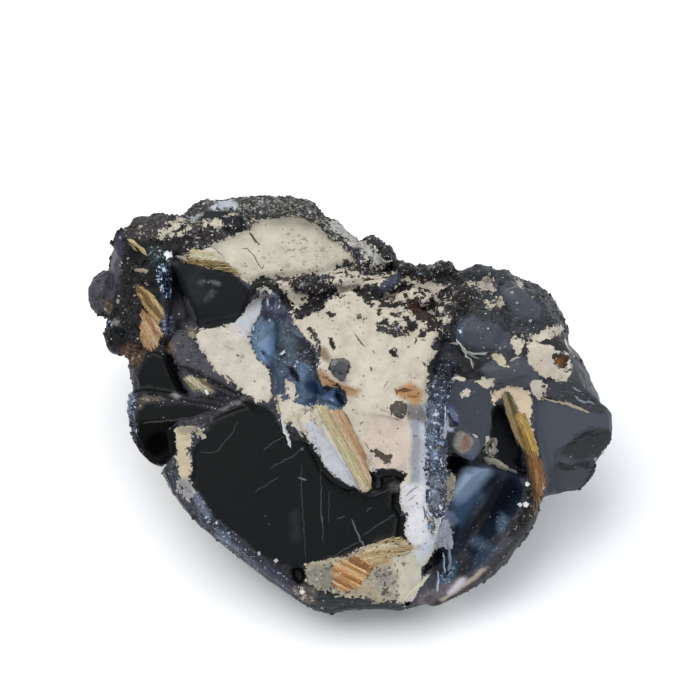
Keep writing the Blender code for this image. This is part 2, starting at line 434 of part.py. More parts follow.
CLAYS = {"clay_upper": CLAY_UPPER, "clay_left": CLAY_LEFT, "clay_centre": CLAY_CENTRE, "clay_right": CLAY_RIGHT,
         "clay_side": CLAY_SIDE}
RUTILES = {"rutile_left": RUTILE_LEFT, "rutile_upper": RUTILE_UPPER, "rutile_centre": RUTILE_CENTRE,
           "rutile_foot": RUTILE_FOOT, "rutile_right": RUTILE_RIGHT, "rutile_wedge": RUTILE_WEDGE}
CLAY_RIM = 0.35               # how far a clay slab's edge is rounded over
RUTILE_RIM = 0.25


def slab(name, home, part, rim):
    """An inlay's slab, with a rounded-over rim and a slightly narrower back."""
    outline, height, slope, depth = part
    centre = middle(outline)
    edge = ((rim, 0), (0, rim), (0.15, depth))
    loft(name, [face_points(offset(outline, inset), centre, height, slope, drop) for inset, drop in edge], home)


def pocket(name, home, part):
    """The room that a slab needs in what holds it, open to the front."""
    outline, height, slope, depth = part
    centre = middle(outline)
    edge = ((-GAP, -POCKET_REACH), (-GAP, depth + GAP))
    loft(name, [face_points(offset(outline, inset), centre, height, slope, drop) for inset, drop in edge], home)


def build_inlays(parts, material, rim, cutters):
    """One object for each inlay, joined from its slabs, with the pockets of what lies in it cut away."""
    for name, slabs in parts.items():
        home = collection(f"{name}_slabs")
        for i, part in enumerate(slabs):
            slab(f"{name}_slab_{i}", home, part, rim)
        first = home.objects[0]
        body = bpy.data.objects.new(name, first.data.copy())
        bpy.context.scene.collection.objects.link(body)
        body.data.materials.append(material)
        if len(slabs) > 1:
            combine(body, "UNION", home)
        for tools in cutters:
            combine(body, "DIFFERENCE", tools)
        merge_flats(body)


def build_pockets(parts, label):
    """A collection with every pocket of these inlays."""
    home = collection(label)
    for name, slabs in parts.items():
        for i, part in enumerate(slabs):
            pocket(f"{name}_pocket_{i}", home, part)
    return home


def build_host(material, cutters):
    stock = collection("hematite_stock")
    build_host_stock(stock)
    core_points = [metres(*point) for point in CORE_BELOW] + [place(*point) for point in CORE_ABOVE]
    core = hull("hematite", bpy.context.scene.collection, core_points)
    core.hide_render = False
    core.display_type = "TEXTURED"
    core.data.materials.append(material)
    combine(core, "UNION", stock)
    for tools in cutters:
        combine(core, "DIFFERENCE", tools)
    merge_flats(core)


def main():
    clear_scene()
    hematite = mineral("hematite", (0.045, 0.047, 0.055), 0.28, 0.9)
    clay = mineral("clay", (0.66, 0.60, 0.50), 0.85, 0.0)
    rutile = mineral("rutile", (0.62, 0.36, 0.13), 0.38, 0.25)
    rutile_pockets = build_pockets(RUTILES, "rutile_pockets")
    clay_pockets = build_pockets(CLAYS, "clay_pockets")
    hollows = collection("hollows")
    build_hollows(hollows)
    build_inlays(RUTILES, rutile, RUTILE_RIM, [])
    build_inlays(CLAYS, clay, CLAY_RIM, [rutile_pockets])
    build_host(hematite, [hollows, clay_pockets, rutile_pockets])


main()
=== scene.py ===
"""Looks of the rutile-on-hematite specimen: every finish, needle and crumb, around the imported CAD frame.

Lengths are millimetres. The display side lies on the same slanted drawing plane as the solids: u to the
right, v up the slope, w out of it. An outline below is a region of that plane as it is seen from straight in
front of it.
"""
import math
from collections import namedtuple

import bpy
import numpy as np
from mathutils import Matrix, Vector
from mathutils.bvhtree import BVHTree


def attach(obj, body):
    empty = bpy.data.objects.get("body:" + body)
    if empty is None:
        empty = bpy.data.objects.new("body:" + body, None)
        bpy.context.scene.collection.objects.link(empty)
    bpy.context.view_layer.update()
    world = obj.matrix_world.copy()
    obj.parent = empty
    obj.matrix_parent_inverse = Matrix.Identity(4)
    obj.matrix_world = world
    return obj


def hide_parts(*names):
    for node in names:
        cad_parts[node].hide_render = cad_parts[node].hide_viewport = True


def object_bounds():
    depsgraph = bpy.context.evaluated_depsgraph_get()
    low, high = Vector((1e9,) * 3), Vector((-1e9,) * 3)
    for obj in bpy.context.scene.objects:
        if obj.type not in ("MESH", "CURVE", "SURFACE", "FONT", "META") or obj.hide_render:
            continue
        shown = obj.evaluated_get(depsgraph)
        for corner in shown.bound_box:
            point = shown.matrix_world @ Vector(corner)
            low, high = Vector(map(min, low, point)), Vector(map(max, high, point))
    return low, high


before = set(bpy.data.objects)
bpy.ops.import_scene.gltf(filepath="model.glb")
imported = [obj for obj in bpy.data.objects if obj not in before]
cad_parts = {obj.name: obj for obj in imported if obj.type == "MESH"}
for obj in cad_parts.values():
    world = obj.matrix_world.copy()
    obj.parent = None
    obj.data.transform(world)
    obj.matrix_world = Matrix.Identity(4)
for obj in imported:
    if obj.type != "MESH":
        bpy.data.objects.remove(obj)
cad_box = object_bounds()


# ---------------------------------------------------------------- driving values
MM = 0.001
SLOPE = math.radians(50)               # elevation that the drawing plane faces
PLANE_ORIGIN = (0.04, -3.08, 13.5)     # the drawing plane's origin in the frame
EYE_V = 5.5                            # height on the plane that the camera looks at
EYE_DISTANCE = 700.0                   # from the camera to the plane
FRAME_WIDTH = 70.0                     # width of the plane that fills the image
# meshes and the borders of the regions
VOXEL, HOST_VOXEL = 0.18, 0.22         # spacing of the points on the inlays and on the host
BEHIND_SHARE = 0.11                    # share of the host's faces behind that is kept
FAR, NEARBY = 99.0, 2.0                # outside an outline by more than NEARBY counts as FAR
FACING = 0.02                          # a normal leaning more than this to the camera is on the display side
WANDER = 0.2                           # how far a region's border strays
CLAY_GROWTH, RUTILE_GROWTH = 0.6, 0.45  # how far the inlays reach over the clearance that the solids keep
OUTWARD_GROWTH = 0.15                  # share of that by which an inlay's face rises
INLAY_RISE, INLAY_SINK = 0.07, 0.8     # an inlay above the host where it shows, and below it elsewhere
# colours, behind and on the whole
LIGHT_LEVEL = 1.4                      # light on the specimen, against what would show a colour as it is
CLAY_ROUGHNESS = 0.88
BACK_CLAY_LEVEL = 0.42                 # noise above this is a clay patch behind
BACK_SIZES = (6.0, 5.0, 4.0)           # extent of the paler, the rusty and the crumbly places behind
BACK_SPARKLE, BACK_SPARKLE_RANGE = 0.03, 0.1
BACK_CRUMBLE, BACK_CRUMBLE_RANGE = 0.05, 0.2
BACK_ROUGHNESS, BACK_SWELL, BACK_FLECKS = 0.42, 0.14, 0.2
# relief of the crust and of the clay
CRUMB_GRAIN, SWELL_SIZE = 0.8, 2.6     # size of the lumps in the crust, and of its swellings
CLAY_WAVES = ((0.08, 2.2, 37, 3), (0.05, 0.6, 41, 2))  # height, size, seed and octaves of each
PIT_SPACING, PIT_DEPTH, PIT_CHANCE = 2.1, 0.3, 0.62  # pits in the clay; a cell below the chance has none
REST_FADE = (0.05, 0.6)                # heights over the resting face between which the relief grows
# crumbs, strands, chips and needles
MOST_SLOPE = 1.1                       # what lies on the surface spans no step deeper than this
SEED = 7
CRUMB_SIZE, CRUMB_COUNT = 0.11, 8000
BIGGEST_CRUMB = 2.4                    # of the usual crumb's size
LEAST_CRUMBLE = 0.11                   # below this no crumbs lie on the crust
CRUMB_LEAN = 1.1                       # the most that a crumb leans, in radians
# crumbs tinted silvery blue are painted glints
GLINT_CRUMBS, CREAM_CRUMBS = 0.2, 0.16  # their share where sparkle or flecks are full
CLAY_CRUMB_FROM, CLAY_CRUMB, STONE_CRUMB = 0.12, 0.6, -1.0  # depth in clay, of the ground and the crumb
BAR_SIDES = 4                          # of strands and needles
STRAND_STEP, STRAND_STRAY = 0.3, 0.04  # spacing of a strand's points, and how far they stray
STRAND_LIFT, TAPER = 0.4, (0.12, 0.88)  # share of its rise that it is lifted, and the arc of its width
SHOULDER, FOOT_DEPTH = 0.93, 0.35      # a chip's width above its foot, and how deep the foot is sunk
CHIP_SHADOW, CHIP_SHADES = 0.8, (0.88, 1.1)  # tint of its foot, and of its corners
CHIP_LEVEL, CHIP_LEAN, CHIP_TILT = 0.7, 0.12, 0.09  # how level its top is, and how it strays
CHIP_ROOT = 0.5                        # how deep the middle of its foot is sunk
BIGGEST_CHIP = 2.0                     # of the usual chip's size
TRIES = 6                              # places tried for each needle of a spray
NEEDLE_OVERHANG = 0.3                  # how far a needle's tip may pass its spray's outline
NEEDLE_LIFT = (-0.4, 0.9)              # of its thickness, from the ground
NEEDLE_TINTS, STRAND_TINTS = 0.18, 0.05  # how far the tints of single ones differ
STRIPE_SEED, STRIPE_CONTRAST = 83, 0.62
FIBRE_WIDTH, FIBRE_LENGTH, FIBRE_LIFT = 0.16, 2.5, 0.05
# gloss
STONE_GLOSS, CLAY_GLOSS, RUTILE_GLOSS, CRYSTAL_GLOSS, MARK_GLOSS = 0.14, 0.2, 0.5, 0.45, 0.2
RUTILE_ROUGHNESS, CRYSTAL_ROUGHNESS, MARK_ROUGHNESS = 0.38, 0.3, 0.8
# the nodes that the scene replaces, and the fields that their points carry
CLAY_NODES = ("clay_upper", "clay_left", "clay_centre", "clay_right", "clay_side")
RUTILE_NODES = ("rutile_left", "rutile_upper", "rutile_centre", "rutile_foot", "rutile_right", "rutile_wedge")
FIELDS = ("stone", "earth", "clay", "sparkle", "flecks", "rough", "crumble")
# each light's name, place in metres, size, power and colour
LIGHTS = (
    ("key", (-0.3, 0.1, 0.6), 0.85, 4.9, (1.0, 0.985, 0.96)),
    ("front", (0.3, -0.65, 0.3), 0.4, 1.4, (0.93, 0.96, 1.0)),
    ("side", (0.6, 0.2, 0.3), 0.3, 1.2, (0.85, 0.92, 1.0)),
)
LIT_PLACE = (0, 0, 0.01)               # what the lights are turned to, in metres
SKY_COLOUR, SKY_STRENGTH = (0.9, 0.94, 1.0, 1), 0.72
FLOOR_COLOUR, FLOOR_ROUGHNESS = (0.92, 0.92, 0.92, 1), 0.9
FLOOR_REACH, FLOOR_DROP = 2, 0.00002   # half the floor's width, and how far it lies below the specimen


def outline(text):
    """Corners on the drawing plane, in millimetres, from pairs u,v written in tenths of a millimetre."""
    return tuple(tuple(int(number) / 10 for number in corner.split(",")) for corner in text.split())


# ---------------------------------------------------------------- regions of the display side
CLAY_UPPER = outline("-158,148 -144,157 -134,164 -117,168 -103,176 -94,184 -75,188 -50,188 -34,182 "
    "-20,169 -8,160 8,148 2,142 -14,139 -24,132 -50,130 -74,129 -90,126 -100,121 -107,126 -114,131 "
    "-128,136 -146,140")
CLAY_LEFT = outline("-88,113 -78,107 -80,99 -88,91 -96,83 -100,72 -99,59 -92,48 -84,39 -78,27 -77,13 "
    "-81,3 -92,3 -103,8 -112,17 -124,25 -136,35 -145,49 -152,60 -155,68 -149,76 -128,79 -116,84 "
    "-103,100")
CLAY_CENTRE = outline("-14,119 2,125 11,118 19,107 26,98 27,84 27,75 44,68 62,69 80,66 92,60 88,53 "
    "78,43 78,-15 76,-45 77,-95 82,-125 86,-143 74,-155 67,-170 64,-185 59,-199 48,-197 48,-175 "
    "50,-157 62,-143 53,-127 56,-111 49,-97 50,-83 56,-69 46,-64 26,-64 16,-66 21,-82 14,-87 0,-80 "
    "-14,-72 -24,-61 -34,-46 -42,-35 -54,-23 -66,-17 -73,-5 -75,7 -68,13 -60,7 -50,0 -32,1 -22,-7 "
    "-8,-7 -3,5 -6,15 -12,21 -28,19 -33,31 -34,47 -38,61 -50,73 -59,85 -54,97 -30,105")
CLAY_BAND = outline("-92,105 -88,129 -50,143 0,143 50,141 90,139 102,115 100,85 90,60 70,65 30,80 "
    "-10,87 -50,83 -70,93")
CLAY_RIM_STRIP = outline("-20,188 -5,179 12,165 34,147 42,139 26,139 8,155 -10,169 -22,179")
CLAY_RIGHT = outline("177,48 181,57 188,60 195,58 200,53 203,46 206,39 213,35 219,33 218,25 211,23 "
    "201,27 191,29 185,36 179,42")
CLAY_SIDE = outline("-176,-26 -165,-21 -158,-25 -157,-33 -160,-42 -161,-50 -158,-62 -160,-74 "
    "-163,-80 -169,-76 -173,-61 -174,-45")
CLAY_KNOB = outline("136,-31 147,-34 147,-47 140,-53 135,-45")
CLAY_SLIVER = outline("96,-64 104,-71 103,-90 97,-103 94,-83")
CLAY_FOOT = outline("-44,-158 -25,-155 -5,-151 14,-141 35,-136 52,-141 62,-147 54,-160 48,-175 48,-193 "
    "30,-199 10,-193 -10,-191 -32,-185 -44,-173")
SIDE_LOWER = outline("-172,-73 -160,-75 -154,-87 -160,-95 -172,-87")
RIM_CRUST = outline("-190,160 -175,183 -155,202 -135,209 -105,211 -50,210 -23,199 -8,183 16,163 34,147 "
    "22,143 6,155 -12,167 -26,177 -38,185 -50,189 -75,190 -94,186 -102,177 -118,170 -136,165 -145,158 "
    "-160,155")
RIM_SMALL_LUMP = outline("13,169 26,172 38,165 46,153 40,143 22,149 12,159")
LEFT_COLUMN = outline("-264,135 -246,143 -242,165 -228,183 -210,194 -185,195 -166,183 -168,165 "
    "-184,153 -190,130 -190,105 -182,85 -182,60 -200,51 -220,37 -238,57 -248,83 -262,91")
FAR_LEFT = outline("-263,115 -260,124 -253,131 -244,134 -240,131 -240,117 -242,105 -246,93 -253,90 "
    "-259,95 -262,103")
OUTER_FACE = outline("-240,153 -237,163 -232,171 -227,173 -227,159 -229,143 -231,125 -235,105 -241,105 "
    "-241,121 -241,139")
TEAL_GROOVE = outline("-204,159 -190,159 -178,143 -182,137 -195,139 -204,147")
BLUE_GROOVE = outline("-195,142 -184,139 -178,121 -176,105 -184,105 -193,122")
LOWER_GROOVE = outline("-190,101 -182,99 -176,83 -176,69 -184,71 -190,87")
UPPER_BLACK = outline("-176,139 -172,142 -166,143 -158,142 -152,138 -142,136 -130,136 -121,132 "
    "-112,128 -104,120 -100,109 -103,99 -107,91 -114,83 -119,80 -128,79 -138,77 -148,77 -153,79 "
    "-155,87 -158,97 -162,107 -166,115 -170,125 -174,133")
GREY_WEDGE = outline("-174,73 -164,76 -156,69 -151,59 -142,44 -132,32 -118,18 -102,6 -122,9 -137,19 "
    "-150,28 -164,32 -173,39 -178,51 -180,61")
SLAB_UPPER = outline("-200,60 -184,55 -176,39 -164,11 -185,5 -214,3 -222,9 -214,27 -207,45")
SLAB_LOWER = outline("-222,1 -185,3 -160,1 -135,-4 -155,-11 -175,-16 -200,-19 -218,-19 -223,-9")
SLAB_SEAM = outline("-200,7 -165,13 -134,5 -124,-3 -145,-4 -170,1 -195,-1")
HOLLOW = outline("-213,-17 -192,-13 -175,-15 -168,-24 -171,-46 -182,-58 -200,-60 -213,-46")
LEFT_RIM = outline("-225,13 -213,19 -212,1 -215,-19 -207,-42 -198,-58 -208,-59 -220,-35 -225,-10")
BLACK_FACE = outline("-157,-57 -157,-45 -146,-27 -135,-12 -115,1 -100,4 -88,-1 -77,-6 -69,-21 -62,-35 "
    "-50,-35 -38,-41 -30,-51 -22,-63 -14,-73 0,-81 14,-88 21,-83 16,-67 26,-65 46,-65 55,-72 50,-85 "
    "49,-97 56,-111 53,-127 62,-143 50,-141 36,-136 14,-141 -5,-151 -25,-156 -44,-159 -54,-163 "
    "-65,-161 -88,-151 -105,-136 -125,-121 -145,-105 -154,-95 -160,-77")
LOWER_RIM = outline("-190,-55 -174,-71 -160,-84 -150,-101 -135,-113 -118,-125 -102,-140 -88,-155 "
    "-70,-165 -58,-177 -50,-209 -65,-207 -95,-187 -125,-163 -155,-135 -178,-103 -190,-80")
LOWER_RIM_SMOOTH = outline("-100,-157 -86,-157 -68,-168 -58,-181 -32,-199 -30,-211 -50,-211 -80,-193")
FOOT_RIM = outline("-46,-173 -32,-186 -5,-193 30,-200 50,-199 90,-191 94,-207 50,-211 -20,-211 "
    "-50,-209 -58,-191")
BLUE_ALL = outline("-93,83 -88,95 -86,107 -74,110 -64,99 -57,85 -50,72 -40,63 -32,53 -32,40 -30,25 "
    "-26,15 -14,17 -5,7 -7,-7 -20,-9 -30,-1 -45,-1 -56,9 -66,3 -74,15 -76,30 -82,41 -94,55 -99,69")
BLUE_OVAL = outline("-91,89 -85,92 -80,87 -76,79 -73,69 -73,59 -74,49 -78,43 -84,41 -89,45 -94,51 "
    "-98,59 -100,66 -98,76 -95,83")
BLUE_MIDDLE = outline("-82,91 -74,94 -67,92 -60,86 -53,79 -47,73 -41,69 -49,60 -53,50 -59,41 -65,40 "
    "-71,47 -72,59 -72,70 -76,81")
BLUE_LOWER = outline("-56,37 -50,43 -43,41 -37,35 -38,26 -34,20 -29,14 -28,7 -35,1 -43,-3 -52,-3 -56,5 "
    "-53,15 -55,25 -58,32")
BLUE_LEG = outline("-71,38 -65,41 -59,38 -59,31 -63,25 -64,17 -66,8 -72,9 -75,17 -76,27 -74,35")
BLUE_HEAD = outline("-84,108 -80,112 -74,112 -69,107 -69,99 -73,93 -80,93 -84,99")
KNOB = outline("-26,11 -20,15 -12,14 -7,8 -6,-1 -11,-7 -17,-5 -23,0 -27,5")
BAND_CREST = outline("38,143 52,147 66,143 90,145 108,139 108,123 86,121 60,129 40,133")
BAND_RIGHT = outline("84,121 110,125 130,115 120,95 106,75 92,63 86,81 90,105")
HEX_CRYSTAL = outline("-20,44 -14,47 -5,47 0,44 -1,36 -4,28 -8,24 -14,27 -19,33 -21,39")
TAN_STAIN = outline("-34,35 -27,35 -21,31 -17,25 -10,22 -3,21 3,17 11,13 3,8 -6,10 -16,16 -24,17 "
    "-32,20 -35,27")
ORANGE_BLOBS = outline("45,13 52,19 61,23 68,20 72,14 71,3 64,-1 58,5 50,7")
DARK_MARK = outline("21,-45 26,-43 31,-45 35,-49 43,-51 41,-57 37,-60 33,-57 30,-52 25,-50")
PINK_FACET = outline("16,-13 35,-7 55,-11 58,-35 55,-63 30,-65 18,-61 14,-35")
LAVENDER_STRIP = outline("60,0 77,3 78,-35 77,-79 60,-79 61,-35")
WHITE_STRIP = outline("52,-79 77,-79 78,-115 80,-143 64,-147 54,-127 58,-111 50,-97")
WHITE_BLADE = outline("-47,-21 -38,-16 -28,-25 -16,-41 -4,-57 10,-75 18,-85 12,-87 -2,-81 -16,-72 "
    "-26,-60 -35,-45")
STRIP_FOOT = outline("58,-143 86,-141 86,-155 74,-167 68,-185 62,-199 50,-197 48,-175")
BLACK_WEDGE = outline("71,-169 74,-161 79,-153 83,-146 88,-143 94,-146 92,-153 88,-159 82,-165 76,-169")
RIDGE = outline("77,15 87,29 98,21 100,5 96,-25 99,-50 96,-75 98,-95 94,-115 92,-135 88,-147 80,-140 "
    "77,-115 76,-75 76,-25")
RIDGE_TOP = outline("88,45 105,45 108,25 100,13 90,17 85,33")
GREY_FACE = outline("100,19 122,27 142,19 151,1 143,-15 141,-35 131,-41 116,-35 106,-23 100,-1")
EYE_CRYSTAL = outline("101,-42 104,-33 110,-25 118,-26 126,-33 132,-41 132,-50 127,-56 117,-57 107,-53 "
    "101,-48")
EYE_CENTRE = outline("112,-31 116,-29 120,-36 119,-44 114,-47 111,-41")
SLOT = outline("144,1 154,1 166,-19 174,-45 174,-69 162,-65 146,-53 140,-31 142,-13")
SLOT_DEEP_SHADE = outline("98,-53 116,-59 130,-57 146,-57 120,-65 108,-79 100,-69")
DISH = outline("108,-75 116,-63 140,-57 162,-63 174,-71 176,-85 166,-105 150,-125 136,-140 120,-157 "
    "102,-169 92,-161 90,-140 102,-125 106,-100")
DISH_SHEEN = outline("111,-69 116,-62 126,-60 138,-61 143,-67 135,-76 126,-86 116,-95 106,-100 104,-85")
DISH_PAINTED_SHADE = outline("144,-73 164,-73 172,-85 158,-103 142,-115 128,-127 112,-135 120,-115 136,-95")
DISH_KNOB = outline("91,-113 94,-106 100,-105 106,-109 108,-116 103,-122 96,-121 92,-118")
BOWL_RIM = outline("176,-73 191,-83 191,-105 186,-121 170,-135 158,-131 164,-115 174,-95")
BOWL_SIDE = outline("191,-101 190,-119 174,-141 150,-169 120,-191 95,-203 82,-203 90,-195 110,-181 "
    "135,-165 156,-143 172,-125")
BOWL_PINK = outline("90,-195 100,-187 112,-179 124,-170 132,-162 138,-161 130,-171 118,-180 104,-190 "
    "94,-197")
BOWL_FOOT = outline("70,-191 90,-179 110,-171 120,-175 100,-187 80,-201 68,-201")
RIGHT_MASS = outline("90,143 130,143 170,133 205,109 222,75 222,60 216,63 202,71 186,69 176,59 158,53 "
    "140,49 116,53 96,61 100,85 106,115")
RIGHT_LENS = outline("149,118 155,124 162,125 169,121 176,114 183,106 191,97 192,87 184,83 171,86 "
    "162,92 157,103 152,111")
LOWER_LENS = outline("106,87 114,90 124,89 134,84 146,79 156,74 161,66 161,55 150,54 134,54 118,58 "
    "109,65 105,75")
PEBBLE = outline("129,34 135,42 145,44 154,38 161,44 171,50 179,45 186,35 190,28 182,20 166,18 150,21 "
    "136,27")
RIGHT_SHOULDER = outline("194,21 210,29 220,45 235,39 250,17 260,-3 240,-7 216,2 195,9")
RIGHT_BLOCK = outline("184,5 210,1 240,-7 262,-7 264,-25 254,-41 242,-57 232,-83 210,-89 194,-91 "
    "196,-75 190,-45 186,-15")
BLOCK_DARK_FACET = outline("210,-49 226,-29 248,-23 263,-25 256,-41 242,-53 230,-57")
BLOCK_CREASE = outline("208,-57 220,-59 232,-57 241,-57 238,-64 226,-63 214,-66 207,-63")
BLOCK_GROOVE = outline("216,-43 222,-35 231,-29 241,-24 249,-22 240,-28 232,-32 225,-38")
BLOCK_LOWER = outline("195,-65 210,-57 242,-55 234,-81 210,-89 195,-90")
DARK_ARCH = outline("-103,117 -98,122 -92,126 -86,128 -80,126 -76,122 -69,118 -65,113 -61,107 -58,99 "
    "-57,94 -61,89 -65,93 -69,99 -67,104 -72,108 -78,112 -82,117 -87,118 -92,114 -98,108 -102,110")
DARK_THREAD = outline("-80,126 -72,129 -62,129 -58,126 -64,124 -74,124")
DARK_CHUNK = outline("-61,123 -55,128 -46,131 -32,129 -18,131 -19,127 -24,124 -16,122 -12,117 -14,112 "
    "-6,109 -10,107 -17,109 -21,106 -25,100 -28,95 -35,92 -41,89 -48,85 -54,86 -56,92 -51,98 -45,103 "
    "-38,108 -43,110 -50,112 -56,115 -60,118")
DARK_BIT_A = outline("-25,95 -20,94 -13,90 -16,87 -22,90")
DARK_BIT_B = outline("-22,67 -18,68 -15,62 -13,57 -17,55 -20,60")
DARK_BIT_C = outline("29,83 36,84 41,82 38,80 31,80")
DARK_BIT_D = outline("40,55 44,57 47,53 47,48 42,49 39,52")
DARK_BIT_E = outline("31,105 35,107 37,102 33,100")
DARK_BIT_F = outline("6,91 12,90 13,87 8,87")
DARK_LEDGE = outline("-16,136 -12,142 -6,144 2,142 9,139 14,143 21,144 26,140 32,137 40,137 43,133 "
    "34,130 24,129 15,130 7,133 2,136 0,129 -3,129 -3,137 -7,138 -12,135")
DARK_SEAM = outline("3,117 12,118 22,121 30,119 36,114 31,108 24,105 21,100 15,102 10,108 4,113")
LAVENDER_GEM = outline("28,117 31,122 38,127 46,132 52,133 55,128 49,121 41,115 34,112 29,114")
BAND_CORNER = outline("40,102 46,107 56,109 65,105 68,99 62,93 59,87 68,83 74,75 64,74 52,75 42,72 "
    "36,75 40,83 44,93")
BAND_RUST = outline("59,97 63,104 70,105 72,97 67,89 61,88")
BROWN_EDGE = outline("-44,77 -39,78 -34,74 -31,67 -29,59 -29,49 -32,44 -35,53 -34,61 -37,69")
BROWN_SPOT = outline("-28,59 -22,55 -18,49 -22,43 -28,45 -31,53")
GREY_BLOB = outline("40,-1 46,4 53,4 57,-1 56,-10 51,-14 44,-11 40,-6")
GREY_TOP = outline("55,1 63,3 72,-1 76,-9 75,-19 68,-16 58,-15 55,-7")
BLUE_BACK = outline("-48,71 -40,73 -35,67 -32,58 -34,47 -33,37 -39,33 -46,41 -52,45 -52,55")
KNOB_PAINTED_SHADE = outline("-14,14 -7,8 -7,1 -12,3 -16,8")
LEG_CREAM = outline("-64,24 -59,23 -54,17 -54,8 -57,1 -61,6 -65,14")
BAND_WHITE = outline("-88,116 -82,115 -82,107 -84,99 -84,93 -90,90 -95,84 -99,75 -101,65 -107,71 "
    "-114,79 -110,88 -102,97 -94,106")
CENTRE_EDGE = outline("-33,0 -24,0 -16,-14 -6,-32 3,-47 11,-64 18,-78 20,-85 13,-87 6,-77 -2,-61 "
    "-12,-42 -22,-25 -30,-10")
CENTRE_MID = outline("-23,-6 -8,-5 -1,-16 5,-28 11,-41 15,-53 17,-67 20,-80 16,-77 10,-63 3,-47 -6,-32 "
    "-15,-16")
LEFT_GOLD = outline("-214,119 -208,117 -201,113 -194,105 -188,97 -187,88 -191,82 -197,88 -203,95 "
    "-208,103 -211,111")
LEFT_ORANGE = outline("-208,94 -202,89 -196,84 -191,79 -189,70 -192,61 -199,55 -206,59 -210,67 -209,77 "
    "-207,85")
UPPER_FAN = outline("-172,143 -166,149 -160,156 -152,155 -143,154 -136,150 -130,148 -125,142 -114,135 "
    "-110,129 -120,133 -132,136 -144,137 -154,139 -164,141")
OLIVE_WEDGE = outline("-165,26 -158,29 -153,25 -147,26 -141,20 -135,13 -140,14 -145,11 -150,15 "
    "-157,14 -160,19")
RIGHT_GOLD = outline("167,-8 172,-9 177,-15 181,-25 184,-38 187,-50 181,-51 175,-44 170,-32 167,-20")
RIGHT_BROWN = outline("174,-44 181,-47 187,-53 193,-61 196,-71 195,-83 190,-91 188,-101 186,-110 "
    "183,-107 183,-93 182,-77 179,-61")
PEACH = outline("141,12 147,15 158,18 168,18 176,14 181,9 181,-3 180,-15 183,-25 179,-25 173,-15 "
    "167,-5 163,5 158,13 149,7 145,-1 141,5")
FOOT_STRIPES = outline("-16,-163 -10,-156 2,-153 16,-155 22,-161 18,-170 12,-175 10,-181 0,-185 "
    "-12,-185 -16,-177")
FOOT_GOLD = outline("12,-147 22,-140 35,-134 47,-132 58,-138 64,-143 54,-148 42,-151 30,-157 20,-161 14,-155")
FOOT_GREY = outline("-46,-165 -38,-161 -28,-161 -20,-157 -14,-163 -12,-175 -14,-185 -22,-187 -32,-183 "
    "-42,-179 -46,-172")
FOOT_BITS = outline("18,-161 30,-162 42,-160 48,-167 50,-179 48,-192 38,-197 28,-185 20,-181")
FOOT_STONE = outline("-45,-197 -36,-185 -20,-187 0,-189 22,-187 34,-193 48,-199 48,-205 10,-205 "
    "-20,-209 -34,-206")
BLACK_CHUNK = outline("-151,191 -142,195 -128,195 -114,194 -107,188 -103,177 -110,172 -120,169 "
    "-128,175 -138,175 -149,181")
CHUNK_BIT_A = outline("-147,186 -143,189 -141,184 -142,178 -146,179")
CHUNK_BIT_B = outline("-140,182 -136,187 -130,186 -127,180 -129,174 -136,176")
CHUNK_BIT_C = outline("-122,192 -117,194 -113,191 -116,188")
RIM_WHITE = outline("-142,199 -134,202 -122,204 -110,203 -112,197 -124,195 -138,195")
RIM_WHITE_B = outline("-161,186 -155,191 -147,193 -151,187 -157,184")
RIM_GREY = outline("-168,187 -162,194 -154,201 -146,203 -142,199 -147,194 -157,191 -164,185")
BROWN_RIM = outline("-198,177 -185,177 -170,179 -155,177 -140,175 -125,173 -128,167 -142,162 -154,158 "
    "-166,153 -178,155 -192,159")
CROWN = outline("-226,175 -218,183 -207,190 -196,193 -184,191 -178,186 -184,177 -194,169 -206,163 "
    "-218,165 -226,169")
CROWN_BIT_A = outline("-190,173 -186,178 -180,177 -174,185 -166,183 -162,181 -170,178 -174,174 "
    "-178,169 -186,166 -191,168")
CROWN_BIT_B = outline("-212,175 -208,179 -205,174 -209,171")
CROWN_BIT_C = outline("-178,188 -172,187 -167,183 -174,182")
CROWN_BIT_D = outline("-172,172 -169,174 -166,170 -170,168")
FAR_EDGE = outline("-246,104 -241,106 -237,102 -238,93 -243,89 -247,95")
PURPLE_FACETS = outline("-187,107 -180,109 -172,105 -166,101 -160,91 -156,79 -156,67 -166,61 -178,62 "
    "-186,67 -188,83")
PURPLE_SPARK = outline("-187,93 -182,95 -178,87 -176,77 -178,67 -184,67 -187,79")
OLIVE_CHIP = outline("-164,75 -160,79 -155,75 -153,67 -158,64 -162,69")
LEFT_SPARK = outline("-240,83 -235,88 -230,85 -232,80 -238,78")
LEFT_BROWN = outline("-230,57 -222,61 -214,59 -206,57 -202,51 -208,43 -214,38 -221,39 -226,47")
BROWN_CORNER = outline("-186,60 -180,63 -175,59 -176,51 -182,51")
SLAB_CREAM_A = outline("-213,5 -206,10 -198,8 -190,9 -186,5 -192,4 -200,5 -208,2")
SLAB_CREAM_B = outline("-217,-1 -211,2 -207,-1 -210,-5 -215,-5")
SLAB_SPOT = outline("-180,10 -174,12 -170,9 -175,6")
GREY_STREAK = outline("-132,-4 -124,-2 -116,4 -107,7 -109,2 -118,-3 -126,-7")
WEDGE_CRACK = outline("-171,39 -160,37 -148,33 -134,25 -120,17 -104,9 -108,6 -122,12 -138,19 -152,27 "
    "-166,33")
CLAY_SIDE_CAP = outline("-176,-25 -168,-21 -159,-19 -151,-23 -144,-31 -148,-33 -155,-28 -162,-29 "
    "-170,-29")
SIDE_BLACK = outline("-179,-63 -175,-59 -171,-62 -173,-67 -178,-67")
FACE_BLOTCH = outline("-59,-109 -54,-105 -50,-109 -50,-121 -49,-133 -55,-137 -60,-131 -58,-121")
FACE_BLOTCH_B = outline("40,-79 46,-75 50,-79 48,-85 42,-86")
LENS_SPARK = outline("104,87 110,87 113,79 113,69 107,67 103,75")
BIT_A = outline("128,121 133,128 138,130 143,127 141,121 145,115 138,113 132,115 126,117")
BIT_B = outline("114,122 120,125 124,121 119,118")
BIT_C = outline("165,124 169,125 173,118 170,117")
